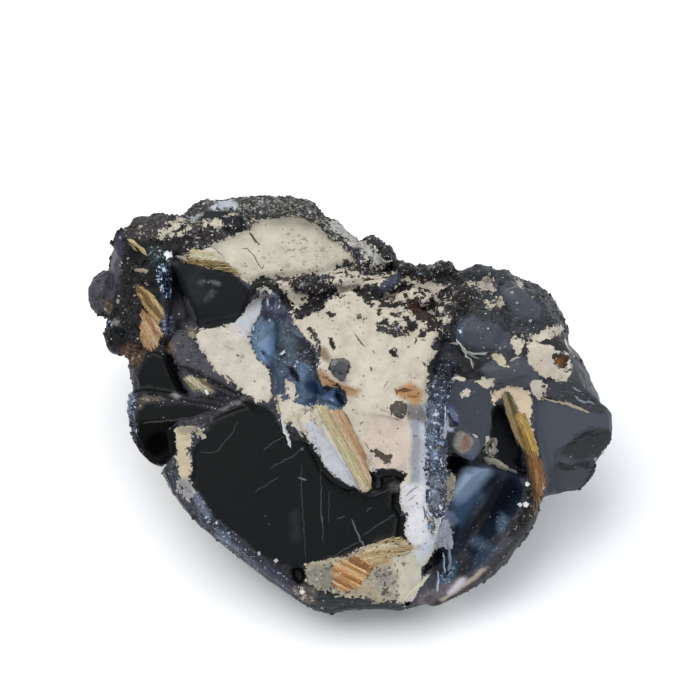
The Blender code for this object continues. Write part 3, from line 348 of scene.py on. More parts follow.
BIT_D = outline("161,62 164,68 171,68 176,62 172,54 168,49 164,53")
BIT_E = outline("178,68 182,72 188,69 183,64")
BIT_F = outline("141,49 146,53 151,51 156,45 158,38 152,38 147,43")
BIT_G = outline("126,24 134,27 146,26 144,19 138,16 132,19")
BIT_H = outline("103,27 109,30 115,27 110,23")
BIT_I = outline("109,12 116,17 124,15 118,9 111,7")
BIT_J = outline("180,21 186,26 195,21 196,13 191,5 185,8 181,14")
BIT_K = outline("143,104 147,108 152,107 156,102 151,99 146,100")
BIT_L = outline("134,105 139,104 143,100 140,95 135,98")
RIGHT_MIX = outline("177,58 182,66 188,71 197,77 206,81 213,77 217,66 221,56 224,46 221,34 219,26 "
    "208,27 196,34 186,44")
CROWN_MIX = outline("-196,170 -188,178 -180,186 -168,190 -158,186 -150,181 -160,174 -176,168 -188,165")
RED_PIT = outline("204,49 208,52 213,51 218,48 219,42 216,37 210,37 206,41")
RED_CENTRE = outline("207,44 210,47 214,45 215,41 211,39 208,41")
PIT_DARK_CHUNK = outline("199,64 205,70 212,68 217,61 220,52 215,52 211,57 204,58")
CORNER_CRYSTAL = outline("80,60 86,66 96,64 105,63 108,55 102,52 93,55 84,56")
TALL_CRYSTAL = outline("85,43 91,46 96,41 97,29 95,17 88,17 84,27 83,37")
EYE_FACE = outline("102,-50 112,-52 125,-44 130,-47 128,-56 120,-60 108,-55")
RIDGE_FACET = outline("96,0 101,1 107,-9 110,-21 104,-19 98,-13")
RIDGE_WHITE = outline("96,-12 101,-14 106,-22 102,-27 97,-25 95,-35 93,-31 94,-19")
GAP_PAINTED_SHADE = outline("97,-51 104,-51 113,-57 118,-60 110,-63 102,-67 96,-63")
CLAW = outline("84,-113 92,-111 98,-117 102,-127 103,-138 100,-145 92,-143 84,-143 77,-149 "
    "70,-158 66,-150 72,-138 80,-130 86,-124")
BOWL_HIGHLIGHT = outline("96,-187 102,-181 110,-174 116,-172 114,-179 106,-185 98,-190")
BOWL_TEAL = outline("88,-180 92,-169 98,-160 104,-153 108,-161 106,-171 100,-178 93,-185")
BOWL_CIRCLE = outline("106,-151 112,-146 120,-148 122,-157 116,-165 108,-161")
DISH_BLUE_SHEEN = outline("102,-95 112,-85 125,-83 132,-90 120,-107 110,-120 102,-115")
DISH_GLINT = outline("120,-136 128,-131 138,-137 146,-143 140,-149 130,-145 122,-141")
DISH_GLINT_B = outline("146,-115 152,-109 158,-113 157,-121 152,-131 148,-125")
DISH_GLINT_C = outline("120,-155 130,-148 140,-143 142,-149 134,-157 126,-163")
FOOT_CORNER = outline("-62,-185 -54,-181 -44,-180 -34,-183 -33,-191 -35,-198 -44,-197 -54,-192")
NOTCH_PAINTED_SHADE = outline("-59,-164 -53,-161 -46,-162 -45,-171 -45,-180 -51,-180 -58,-175")
BLACK_GLOW = outline("-162,135 -150,135 -144,125 -144,111 -150,99 -157,101 -162,113 -165,125")
SMUDGE_A = outline("-154,124 -147,126 -144,123 -150,120")
SMUDGE_B = outline("-142,123 -137,125 -131,124 -130,120 -136,121")
SMUDGE_C = outline("-146,103 -142,111 -138,116 -134,113 -138,107 -143,101")
STRIP_EDGE = outline("71,0 77,0 78,-35 78,-75 77,-100 71,-100 70,-75 70,-35")

OVAL_LIT_FACET = outline("-91,64 -84,68 -77,67 -74,60 -75,50 -80,44 -87,47 -92,55")
OVAL_SHADE = outline("-78,89 -70,85 -71,70 -72,55 -75,53 -75,67 -78,79")
BLUE_BROW = outline("-88,92 -75,95 -62,91 -52,81 -48,71 -56,75 -66,83 -78,85 -86,85")
LOWER_NAVY = outline("-46,21 -40,25 -32,21 -24,15 -28,9 -36,11 -43,13")
LOWER_PALE = outline("-53,40 -46,43 -41,38 -41,28 -47,25 -53,30")
LEG_SLIT = outline("-62,37 -58,39 -52,29 -50,22 -55,25 -60,31")
KNOB_FOOT = outline("-22,2 -14,3 -8,0 -12,-7 -19,-6")
EYE_PALE = outline("103,-34 107,-28 113,-27 119,-30 123,-37 121,-45 113,-49 106,-46 103,-41")
LEFT_BLACK_A = outline("-246,83 -238,87 -225,75 -220,60 -230,50 -242,60")
LEFT_BLACK_B = outline("-222,157 -210,161 -200,153 -194,143 -198,135 -210,141 -220,147")
LEFT_BLACK_C = outline("-182,140 -170,143 -163,120 -162,105 -170,109 -176,120")
LEFT_BLACK_D = outline("-198,128 -190,124 -188,110 -190,98 -197,104 -200,116")
RIDGE_PALE_A = outline("78,0 84,2 87,-15 86,-35 87,-55 84,-65 80,-55 78,-35")
RIDGE_PALE_B = outline("80,-75 88,-70 92,-85 90,-100 84,-110 80,-95")
RIGHT_OLIVE = outline("153,13 160,13 164,3 168,-9 169,-25 173,-42 166,-35 160,-20 156,-3")
FOOT_TAN = outline("2,-152 16,-150 30,-150 40,-156 38,-166 24,-168 14,-164 4,-158")
FOOT_PALE = outline("42,-148 60,-146 64,-160 58,-180 54,-196 46,-190 46,-172 42,-160")
FOOT_MAUVE = outline("24,-167 33,-164 42,-166 42,-175 35,-178 27,-176")
FOOT_LINE = outline("-30,-186 -12,-187 4,-187 20,-186 34,-190 46,-194 44,-199 24,-194 4,-192 -16,-192")
RIM_GLINT_A = outline("-157,-83 -150,-87 -145,-100 -138,-110 -142,-115 -150,-107 -156,-95")
RIM_GLINT_B = outline("-134,-123 -125,-128 -118,-136 -110,-143 -114,-147 -124,-141 -132,-133")
RIM_GLINT_C = outline("-105,-150 -94,-157 -86,-163 -84,-168 -96,-166 -104,-158")
LEFT_GLINT = outline("-224,22 -217,15 -217,2 -219,-5 -224,-9")
WEDGE_SIDE = outline("90,-141 98,-140 102,-147 102,-165 96,-172 90,-165 92,-153")

# ---------------------------------------------------------------- colours, as shown, 0 to 255
BACK_DARK, BACK_PALE, BACK_RUST = (40, 40, 43), (74, 74, 82), (82, 64, 50)
# painted glints of the crust's tiny flake crystals, from dim to bright
FLAKE_GLINT_DARK, FLAKE_GLINT_BRIGHT = (82, 92, 114), (216, 224, 238)
FLECK_DARK, FLECK_BRIGHT = (110, 106, 101), (190, 184, 174)
PIT_DARK, SPECK_DARK, CLAY_SMUDGE, CLAY_WARM = (10, 10, 11), (70, 56, 46), (172, 164, 148), (216, 190, 160)
# painted glint on a crumb of the crust
CRUMB_GLINT = (186, 200, 224)
CRUMB_CREAM = (196, 186, 170)


# ---------------------------------------------------------------- what covers each region
Patch = namedtuple("Patch", "outline colour sparkle roughness crumble swell flecks soft",
                   defaults=(0.0, 0.14))

STONE_PATCHES = (
    Patch(RIM_CRUST, (78, 78, 77), 0.15, 0.5, 0.34, 0.16, 0.9),
    Patch(BROWN_RIM, (66, 60, 62), 0.05, 0.5, 0.2, 0.2, 0.25, 0.4),
    Patch(RIM_GREY, (62, 60, 60), 0.1, 0.5, 0.2, 0.2, 0.2),
    Patch(BLACK_CHUNK, (27, 29, 33), 0.06, 0.35, 0.08, 0.12, 0.05),
    Patch(RIM_WHITE, (194, 198, 206), 0.2, 0.6, 0.1, 0.05, 0.2),
    Patch(RIM_WHITE_B, (168, 170, 176), 0.2, 0.6, 0.1, 0.05, 0.2),
    Patch(RIM_SMALL_LUMP, (46, 46, 48), 0.15, 0.4, 0.2, 0.05, 0.3),
    Patch(LEFT_COLUMN, (38, 38, 38), 0.05, 0.42, 0.3, 0.2, 0.35),
    Patch(LEFT_BLACK_A, (18, 20, 23), 0.03, 0.4, 0.24, 0.1, 0.1, 0.3),
    Patch(LEFT_BLACK_B, (15, 15, 15), 0.0, 0.4, 0.1, 0.1, 0.0, 0.2),
    Patch(LEFT_BLACK_C, (16, 15, 19), 0.0, 0.4, 0.06, 0.1, 0.0, 0.2),
    Patch(LEFT_BLACK_D, (17, 16, 16), 0.0, 0.4, 0.06, 0.1, 0.0, 0.2),
    Patch(CROWN, (68, 65, 65), 0.05, 0.5, 0.16, 0.24, 0.18, 0.4),
    Patch(OUTER_FACE, (60, 60, 71), 0.08, 0.4, 0.06, 0.08, 0.0, 0.3),
    Patch(FAR_LEFT, (76, 76, 82), 0.03, 0.5, 0.14, 0.18, 0.05),
    Patch(FAR_EDGE, (92, 76, 66), 0.1, 0.5, 0.2, 0.1, 0.4),
    Patch(TEAL_GROOVE, (44, 54, 54), 0.4, 0.4, 0.25, 0.05, 0.1),
    Patch(BLUE_GROOVE, (30, 42, 66), 0.9, 0.3, 0.25, 0.0),
    Patch(LOWER_GROOVE, (58, 66, 88), 1.0, 0.35, 0.2, 0.0),
    Patch(LEFT_SPARK, (120, 122, 124), 0.8, 0.4, 0.2, 0.0, 0.5),
    Patch(LEFT_BROWN, (98, 76, 60), 0.05, 0.5, 0.3, 0.05, 0.7, 0.3),
    Patch(PURPLE_FACETS, (60, 58, 66), 0.1, 0.4, 0.06, 0.2, 0.06, 0.3),
    Patch(PURPLE_SPARK, (74, 78, 98), 1.2, 0.35, 0.1, 0.0, 0.1, 0.3),
    Patch(OLIVE_CHIP, (128, 122, 96), 0.1, 0.5, 0.1, 0.0, 0.2),
    Patch(GREY_WEDGE, (73, 73, 80), 0.04, 0.4, 0.06, 0.02, 0.1, 0.2),
    Patch(WEDGE_CRACK, (34, 31, 34), 0.1, 0.4, 0.06, 0.0, 0.1, 0.2),
    Patch(BROWN_CORNER, (112, 94, 82), 0.1, 0.5, 0.12, 0.0, 0.4, 0.25),
    Patch(UPPER_BLACK, (22, 25, 27), 0.0, 0.62, 0.02, 0.02, 0.0, 0.1),
    Patch(BLACK_GLOW, (35, 40, 42), 0.0, 0.6, 0.05, 0.0, 0.0, 0.6),
    Patch(SMUDGE_A, (78, 82, 84), 0.1, 0.5, 0.08, 0.0, 0.5, 0.2),
    Patch(SMUDGE_B, (100, 104, 106), 0.2, 0.5, 0.08, 0.0, 0.6, 0.2),
    Patch(SMUDGE_C, (66, 70, 73), 0.1, 0.5, 0.08, 0.0, 0.4, 0.25),
    Patch(SLAB_UPPER, (17, 19, 20), 0.02, 0.36, 0.02, 0.02),
    Patch(SLAB_LOWER, (17, 18, 18), 0.02, 0.55, 0.01, 0.02),
    Patch(SLAB_SEAM, (34, 34, 38), 0.3, 0.4, 0.08, 0.05, 0.2, 0.2),
    Patch(SLAB_CREAM_A, (104, 93, 84), 0.0, 0.6, 0.16, 0.0, 0.9, 0.25),
    Patch(SLAB_CREAM_B, (104, 93, 84), 0.0, 0.6, 0.16, 0.0, 0.9, 0.25),
    Patch(SLAB_SPOT, (150, 150, 148), 0.0, 0.6, 0.04, 0.0, 0.3, 0.2),
    Patch(GREY_STREAK, (112, 112, 114), 0.2, 0.5, 0.06, 0.0, 0.4, 0.2),
    Patch(BLACK_FACE, (9, 11, 12), 0.0, 0.28, 0.0, 0.0, 0.0, 0.1),
    Patch(FACE_BLOTCH, (32, 34, 37), 0.0, 0.35, 0.0, 0.0, 0.0, 0.5),
    Patch(FACE_BLOTCH_B, (112, 112, 108), 0.0, 0.5, 0.02, 0.0, 0.3, 0.3),
    Patch(LOWER_RIM, (48, 51, 59), 0.6, 0.34, 0.125, 0.06, 0.15),
    Patch(RIM_GLINT_A, (104, 112, 128), 1.0, 0.34, 0.13, 0.0, 0.1, 0.25),
    Patch(RIM_GLINT_B, (98, 107, 124), 1.0, 0.34, 0.13, 0.0, 0.1, 0.25),
    Patch(RIM_GLINT_C, (82, 90, 106), 0.8, 0.34, 0.13, 0.0, 0.1, 0.25),
    Patch(LOWER_RIM_SMOOTH, (60, 62, 74), 0.2, 0.32, 0.04, 0.08),
    Patch(FOOT_RIM, (44, 46, 48), 0.2, 0.4, 0.14, 0.1, 0.15),
    Patch(FOOT_STONE, (50, 54, 56), 0.08, 0.4, 0.12, 0.14, 0.12),
    Patch(FOOT_LINE, (24, 25, 26), 0.0, 0.4, 0.16, 0.0, 0.1, 0.2),
    Patch(LEFT_RIM, (48, 52, 66), 0.4, 0.34, 0.2, 0.08, 0.1),
    Patch(LEFT_GLINT, (108, 118, 136), 0.9, 0.34, 0.2, 0.0, 0.1, 0.25),
    # painted shade: the hollow near black, darker than the hematite's own black
    Patch(HOLLOW, (3, 3, 4), 0.0, 0.95, 0.0, 0.0),
    # painted shade in the notch, near black
    Patch(NOTCH_PAINTED_SHADE, (7, 7, 8), 0.0, 0.4, 0.0, 0.0),
    Patch(FOOT_CORNER, (92, 84, 78), 0.1, 0.5, 0.13, 0.0, 0.8, 0.2),
    Patch(RIGHT_MASS, (60, 61, 65), 0.08, 0.42, 0.16, 0.2, 0.22),
    Patch(RIGHT_LENS, (78, 82, 91), 0.04, 0.36, 0.02, 0.02, 0.04, 0.12),
    Patch(LOWER_LENS, (72, 77, 87), 0.04, 0.36, 0.02, 0.02, 0.04, 0.12),
    Patch(LENS_SPARK, (66, 84, 104), 0.9, 0.35, 0.08, 0.0, 0.1, 0.3),
    Patch(PEBBLE, (78, 79, 87), 0.02, 0.38, 0.03, 0.02, 0.04, 0.12),
    Patch(RIGHT_SHOULDER, (64, 66, 70), 0.06, 0.4, 0.1, 0.08, 0.14, 0.3),
    Patch(RIGHT_BLOCK, (74, 78, 87), 0.0, 0.36, 0.01, 0.0, 0.0, 0.2),
    Patch(BLOCK_DARK_FACET, (50, 52, 54), 0.02, 0.36, 0.03, 0.02, 0.0, 0.25),
    Patch(BLOCK_LOWER, (66, 68, 74), 0.02, 0.36, 0.03, 0.02, 0.0, 0.2),
    Patch(BLOCK_CREASE, (44, 46, 48), 0.02, 0.36, 0.05, 0.0, 0.0, 0.12),
    Patch(BLOCK_GROOVE, (38, 42, 50), 0.02, 0.36, 0.05, 0.0, 0.0, 0.12),
    Patch(CLAY_BAND, (52, 46, 43), 0.06, 0.5, 0.16, 0.0, 0.3, 0.4),
    Patch(BAND_RIGHT, (52, 48, 47), 0.15, 0.42, 0.26, 0.05, 0.4, 0.4),
    Patch(BAND_CREST, (46, 44, 44), 0.15, 0.45, 0.26, 0.08, 0.45),
    Patch(BAND_CORNER, (56, 52, 50), 0.15, 0.5, 0.3, 0.0, 0.4, 0.3),
    Patch(BAND_RUST, (66, 42, 34), 0.0, 0.5, 0.2, 0.0, 0.1),
    Patch(DARK_ARCH, (30, 28, 28), 0.05, 0.45, 0.1, 0.0, 0.08, 0.12),
    Patch(DARK_THREAD, (66, 60, 58), 0.0, 0.5, 0.05, 0.0, 0.3, 0.12),
    Patch(DARK_CHUNK, (44, 40, 42), 0.15, 0.45, 0.24, 0.1, 0.5, 0.12),
    Patch(DARK_LEDGE, (46, 44, 43), 0.15, 0.45, 0.24, 0.0, 0.5, 0.12),
    Patch(DARK_SEAM, (40, 37, 36), 0.1, 0.45, 0.2, 0.0, 0.3, 0.12),
    Patch(LAVENDER_GEM, (68, 70, 86), 0.2, 0.35, 0.04, 0.0, 0.1),
    Patch(DARK_BIT_A, (44, 38, 34), 0.0, 0.5, 0.05, 0.0, 0.1, 0.1),
    Patch(DARK_BIT_B, (62, 50, 42), 0.0, 0.5, 0.05, 0.0, 0.2, 0.1),
    Patch(DARK_BIT_C, (34, 33, 32), 0.0, 0.5, 0.05, 0.0, 0.1, 0.1),
    Patch(DARK_BIT_D, (40, 32, 28), 0.0, 0.5, 0.05, 0.0, 0.1, 0.1),
    Patch(DARK_BIT_E, (60, 50, 44), 0.0, 0.5, 0.05, 0.0, 0.2, 0.1),
    Patch(DARK_BIT_F, (86, 74, 64), 0.0, 0.5, 0.05, 0.0, 0.2, 0.1),
    Patch(BROWN_EDGE, (64, 50, 42), 0.05, 0.5, 0.08, 0.0, 0.25, 0.12),
    Patch(BROWN_SPOT, (110, 92, 74), 0.0, 0.5, 0.08, 0.0, 0.4, 0.14),
    Patch(CORNER_CRYSTAL, (50, 50, 60), 0.1, 0.4, 0.04, 0.0, 0.08, 0.14),
    Patch(TALL_CRYSTAL, (42, 44, 58), 0.1, 0.35, 0.03, 0.0, 0.05, 0.14),
    Patch(GREY_FACE, (67, 70, 78), 0.02, 0.36, 0.03, 0.02, 0.03, 0.2),
    # painted shade in the deep slot: dark navy, and near black where it is deepest
    Patch(SLOT, (14, 19, 28), 0.03, 0.3, 0.0, 0.05, 0.0, 0.3),
    Patch(SLOT_DEEP_SHADE, (6, 6, 9), 0.0, 0.3, 0.0, 0.0),
    Patch(DISH, (34, 43, 60), 0.06, 0.28, 0.01, 0.05, 0.0, 0.2),
    # painted reflection: the middle of the sheen on the dish's upper left wall
    Patch(DISH_BLUE_SHEEN, (72, 98, 126), 0.03, 0.28, 0.04, 0.0, 0.0, 0.6),
    Patch(DISH_SHEEN, (148, 168, 194), 0.02, 0.3, 0.02, 0.0, 0.0, 0.5),
    # painted shade on the right side of the dish, where its sheen fades to dark
    Patch(DISH_PAINTED_SHADE, (13, 17, 29), 0.02, 0.28, 0.02, 0.0, 0.0, 0.6),
    Patch(DISH_GLINT, (92, 112, 134), 0.5, 0.3, 0.12, 0.0, 0.1, 0.4),
    Patch(DISH_GLINT_B, (104, 124, 146), 0.5, 0.3, 0.12, 0.0, 0.1, 0.4),
    Patch(DISH_GLINT_C, (70, 88, 108), 0.5, 0.3, 0.12, 0.0, 0.1, 0.5),
    Patch(BOWL_CIRCLE, (66, 68, 74), 0.2, 0.4, 0.1, 0.0, 0.3, 0.4),
    Patch(BOWL_TEAL, (74, 104, 126), 1.0, 0.3, 0.05, 0.0, 0.0, 0.4),
    Patch(DISH_KNOB, (124, 134, 158), 0.05, 0.35, 0.02, 0.0, 0.0, 0.2),
    Patch(BOWL_RIM, (46, 46, 46), 0.1, 0.4, 0.3, 0.08, 0.35, 0.3),
    Patch(BOWL_SIDE, (60, 59, 60), 0.06, 0.42, 0.12, 0.1, 0.3),
    Patch(BOWL_FOOT, (112, 104, 108), 0.2, 0.45, 0.08, 0.0, 0.1, 0.3),
    Patch(BOWL_PINK, (176, 162, 152), 0.0, 0.45, 0.02, 0.0, 0.1, 0.16),
    # painted highlight on the bowl's pink rim
    Patch(BOWL_HIGHLIGHT, (208, 200, 210), 0.0, 0.4, 0.0, 0.0, 0.0, 0.2),
    Patch(RIDGE, (68, 76, 92), 1.0, 0.34, 0.26, 0.1, 0.1),
    Patch(RIDGE_PALE_A, (112, 124, 142), 0.9, 0.34, 0.26, 0.0, 0.1, 0.3),
    Patch(RIDGE_PALE_B, (124, 130, 142), 0.9, 0.34, 0.26, 0.0, 0.1, 0.3),
    Patch(RIDGE_TOP, (42, 46, 54), 0.8, 0.4, 0.18, 0.0, 0.15),
    Patch(RIDGE_FACET, (92, 106, 140), 0.2, 0.35, 0.02, 0.0, 0.0, 0.16),
    Patch(RIDGE_WHITE, (190, 194, 208), 0.1, 0.4, 0.04, 0.0, 0.1, 0.12),
    # painted shade in the gap, near black
    Patch(GAP_PAINTED_SHADE, (5, 5, 7), 0.0, 0.35, 0.0, 0.0),
    Patch(EYE_CRYSTAL, (86, 89, 94), 0.02, 0.4, 0.04, 0.0, 0.1, 0.12),
    Patch(EYE_PALE, (140, 139, 129), 0.0, 0.5, 0.08, 0.0, 0.2, 0.14),
    Patch(EYE_FACE, (82, 88, 106), 0.02, 0.35, 0.0, 0.0, 0.0, 0.1),
    Patch(EYE_CENTRE, (136, 106, 90), 0.0, 0.5, 0.1, 0.0, 0.1, 0.1),
    # The blue of these crystals is partly their own steel blue and partly painted sky reflection on their
    # facets.
    Patch(BLUE_ALL, (72, 84, 100), 0.3, 0.32, 0.12, 0.08, 0.1, 0.14),
    Patch(BLUE_MIDDLE, (82, 97, 107), 0.3, 0.3, 0.12, 0.08, 0.08, 0.3),
    Patch(BLUE_BACK, (60, 60, 72), 0.5, 0.35, 0.2, 0.08, 0.45, 0.3),
    Patch(BLUE_OVAL, (100, 122, 146), 0.2, 0.28, 0.08, 0.08, 0.0, 0.16),
    # painted light: the oval crystal's lower facet, lighter where light falls on it
    Patch(OVAL_LIT_FACET, (114, 138, 172), 0.0, 0.28, 0.0, 0.0, 0.0, 0.18),
    Patch(OVAL_SHADE, (52, 66, 86), 0.1, 0.3, 0.03, 0.0, 0.0, 0.2),
    Patch(BLUE_BROW, (60, 64, 82), 0.3, 0.32, 0.05, 0.0, 0.1, 0.25),
    Patch(BLUE_HEAD, (96, 102, 124), 0.4, 0.35, 0.06, 0.0, 0.1, 0.2),
    Patch(BLUE_LEG, (70, 83, 103), 0.1, 0.3, 0.08, 0.05, 0.05, 0.16),
    Patch(BLUE_LOWER, (71, 92, 116), 0.3, 0.3, 0.1, 0.08, 0.06, 0.2),
    Patch(LOWER_PALE, (96, 118, 144), 0.4, 0.3, 0.08, 0.0, 0.05, 0.3),
    Patch(LOWER_NAVY, (32, 52, 82), 0.0, 0.3, 0.02, 0.0, 0.0, 0.16),
    Patch(LEG_SLIT, (16, 20, 30), 0.0, 0.4, 0.0, 0.0, 0.0, 0.12),
    Patch(KNOB, (74, 98, 134), 0.05, 0.26, 0.03, 0.05, 0.0, 0.12),
    # painted shade on the knob's right side
    Patch(KNOB_PAINTED_SHADE, (15, 23, 44), 0.0, 0.26, 0.0, 0.0, 0.0, 0.14),
    Patch(KNOB_FOOT, (84, 118, 146), 0.0, 0.3, 0.0, 0.0, 0.0, 0.16),
    Patch(HEX_CRYSTAL, (78, 78, 82), 0.02, 0.4, 0.02, 0.0),
    Patch(GREY_TOP, (116, 114, 118), 0.02, 0.5, 0.03, 0.0, 0.1, 0.25),
    Patch(GREY_BLOB, (90, 84, 78), 0.02, 0.5, 0.14, 0.0, 0.3, 0.14),
    Patch(DARK_MARK, (84, 72, 62), 0.02, 0.5, 0.04, 0.0, 0.2, 0.12),
    Patch(WEDGE_SIDE, (30, 40, 58), 0.2, 0.3, 0.04, 0.0, 0.0, 0.2),
    Patch(BLACK_WEDGE, (8, 12, 20), 0.04, 0.3, 0.0, 0.0, 0.0, 0.1),
    Patch(RED_PIT, (70, 50, 38), 0.0, 0.6, 0.2, 0.0, 0.2, 0.2),
    Patch(RED_CENTRE, (134, 84, 44), 0.0, 0.6, 0.2, 0.0, 0.1, 0.2),
    Patch(PIT_DARK_CHUNK, (52, 50, 48), 0.03, 0.5, 0.1, 0.0, 0.15),
    Patch(LEFT_GOLD, (150, 130, 86), 0.0, 0.5, 0.05, 0.0),
    Patch(LEFT_ORANGE, (176, 132, 92), 0.0, 0.5, 0.05, 0.0),
    Patch(OLIVE_WEDGE, (124, 118, 86), 0.0, 0.5, 0.05, 0.0),
    Patch(RIGHT_OLIVE, (122, 114, 86), 0.0, 0.5, 0.05, 0.0),
    Patch(RIGHT_GOLD, (150, 126, 76), 0.0, 0.5, 0.05, 0.0),
    Patch(RIGHT_BROWN, (112, 82, 54), 0.0, 0.5, 0.05, 0.0),
)

CLAY_REGIONS = (CLAY_UPPER, CLAY_LEFT, CLAY_CENTRE, CLAY_RIM_STRIP, CLAY_RIGHT, PEACH, CLAY_SIDE,
                CLAY_SIDE_CAP, CLAY_KNOB, CLAY_SLIVER, CLAY_FOOT, SIDE_LOWER, STRIP_FOOT, CHUNK_BIT_A,
                CHUNK_BIT_B, CHUNK_BIT_C, CROWN_BIT_A, CROWN_BIT_B, CROWN_BIT_C, CROWN_BIT_D, BIT_A, BIT_B,
                BIT_C, BIT_D, BIT_E, BIT_F, BIT_G, BIT_H, BIT_I, BIT_J, BIT_K, BIT_L, FOOT_GREY, CLAW,
                BAND_WHITE)
# Where clay and stone are mixed, and at each u how far the clay outweighs the stone.
MIXED_REGIONS = (
    (CLAY_BAND, ((-9, 0.8), (0, 0.45), (3.5, 0.16), (7, 0.06), (10, -0.06))),
    (RIGHT_MIX, ((17, 0.35), (20, 0.2), (22, -0.05))),
    (CROWN_MIX, ((-20, 0.0), (-14, 0.12))),
)
CLAY_HOLES = (DARK_ARCH, DARK_THREAD, DARK_CHUNK, DARK_BIT_A, DARK_BIT_B, DARK_BIT_C, DARK_BIT_D, DARK_BIT_E,
              DARK_BIT_F, DARK_LEDGE, DARK_SEAM, LAVENDER_GEM, BAND_RUST, BROWN_EDGE, BAND_CREST, HEX_CRYSTAL,
              GREY_BLOB, DARK_MARK, BLACK_WEDGE, BLUE_ALL, NOTCH_PAINTED_SHADE, CORNER_CRYSTAL, TALL_CRYSTAL, RED_PIT,
              SIDE_BLACK, PIT_DARK_CHUNK, UPPER_BLACK, BLACK_CHUNK)
CLAY_ISLANDS = (CHUNK_BIT_A, CHUNK_BIT_B, CHUNK_BIT_C, LEG_CREAM)

Tint = namedtuple("Tint", "outline colour soft", defaults=(0.35,))
CLAY_COLOUR = (216, 207, 189)
CLAY_TINTS = (
    Tint(CLAY_UPPER, (214, 207, 188)),
    Tint(CLAY_LEFT, (214, 207, 192)),
    Tint(BAND_WHITE, (206, 209, 218), 0.8),
    Tint(PINK_FACET, (216, 199, 184)),
    Tint(LAVENDER_STRIP, (158, 162, 172), 0.3),
    Tint(STRIP_EDGE, (198, 205, 216), 0.3),
    Tint(GREY_TOP, (124, 122, 124), 0.3),
    Tint(WHITE_STRIP, (228, 228, 232)),
    Tint(WHITE_BLADE, (206, 208, 214), 0.2),
    Tint(STRIP_FOOT, (198, 195, 180), 0.7),
    Tint(TAN_STAIN, (174, 140, 106), 0.3),
    Tint(BROWN_SPOT, (140, 120, 98), 0.25),
    Tint(ORANGE_BLOBS, (182, 136, 94), 0.35),
    Tint(CLAY_SIDE, (214, 198, 166)),
    Tint(CLAY_SIDE_CAP, (158, 152, 132)),
    Tint(SIDE_LOWER, (156, 156, 156)),
    Tint(CLAY_FOOT, (186, 172, 146)),
    Tint(FOOT_TAN, (194, 170, 128)),
    Tint(FOOT_BITS, (178, 172, 158)),
    Tint(FOOT_MAUVE, (166, 158, 148)),
    Tint(FOOT_PALE, (206, 198, 180)),
    Tint(FOOT_GREY, (146, 143, 130), 0.6),
    Tint(CLAY_RIGHT, (208, 196, 178)),
    Tint(PEACH, (226, 204, 176)),
    Tint(CLAY_RIM_STRIP, (202, 200, 196)),
    Tint(BIT_F, (196, 190, 160)),
    Tint(CLAW, (200, 206, 216)),
    Tint(BIT_A, (176, 168, 158)),
    Tint(CLAY_SLIVER, (170, 160, 138)),
)
DOMES = (                      # how high a region bulges (or sinks) within a rim of the given width
    (UPPER_BLACK, 0.3, 0.4), (FAR_LEFT, 0.3, 0.6), (KNOB, 0.6, 0.9), (DISH_KNOB, 0.4, 0.7),
    (BLUE_OVAL, 0.5, 1.0), (OVAL_LIT_FACET, 0.15, 0.5), (BLUE_MIDDLE, 0.4, 0.9), (BLUE_LOWER, 0.4, 0.8),
    (BLUE_LEG, 0.3, 0.5), (LEG_SLIT, -0.3, 0.2), (OVAL_SHADE, -0.1, 0.2), (EYE_CRYSTAL, 0.3, 0.25),
    (BLUE_BACK, 0.2, 0.5), (BLUE_HEAD, 0.25, 0.4),
    (RIGHT_LENS, 0.2, 0.3), (LOWER_LENS, 0.22, 0.3), (PEBBLE, 0.22, 0.35), (DARK_CHUNK, 0.3, 0.4),
    (DARK_ARCH, 0.25, 0.3), (LAVENDER_GEM, 0.4, 0.5), (BLACK_CHUNK, 0.35, 0.6), (CORNER_CRYSTAL, 0.2, 0.3),
    (TALL_CRYSTAL, 0.25, 0.3), (GREY_BLOB, 0.25, 0.4), (RED_PIT, -0.2, 0.4), (BLACK_WEDGE, -0.5, 0.4),
    (NOTCH_PAINTED_SHADE, -0.6, 0.5), (GAP_PAINTED_SHADE, -0.5, 0.4), (DARK_BIT_D, -0.25, 0.3), (DARK_BIT_B, -0.2, 0.3),
    (WEDGE_CRACK, -0.25, 0.3), (SLAB_SEAM, -0.1, 0.5), (BLOCK_CREASE, -0.15, 0.15),
    (BLOCK_GROOVE, -0.12, 0.12), (SIDE_BLACK, -0.4, 0.3), (FAR_EDGE, -0.1, 0.3),
)


# ---------------------------------------------------------------- single crystals, marks and veins
Stroke = namedtuple("Stroke", "path width rise colour")  # for a crystal, width is how much its top is smaller

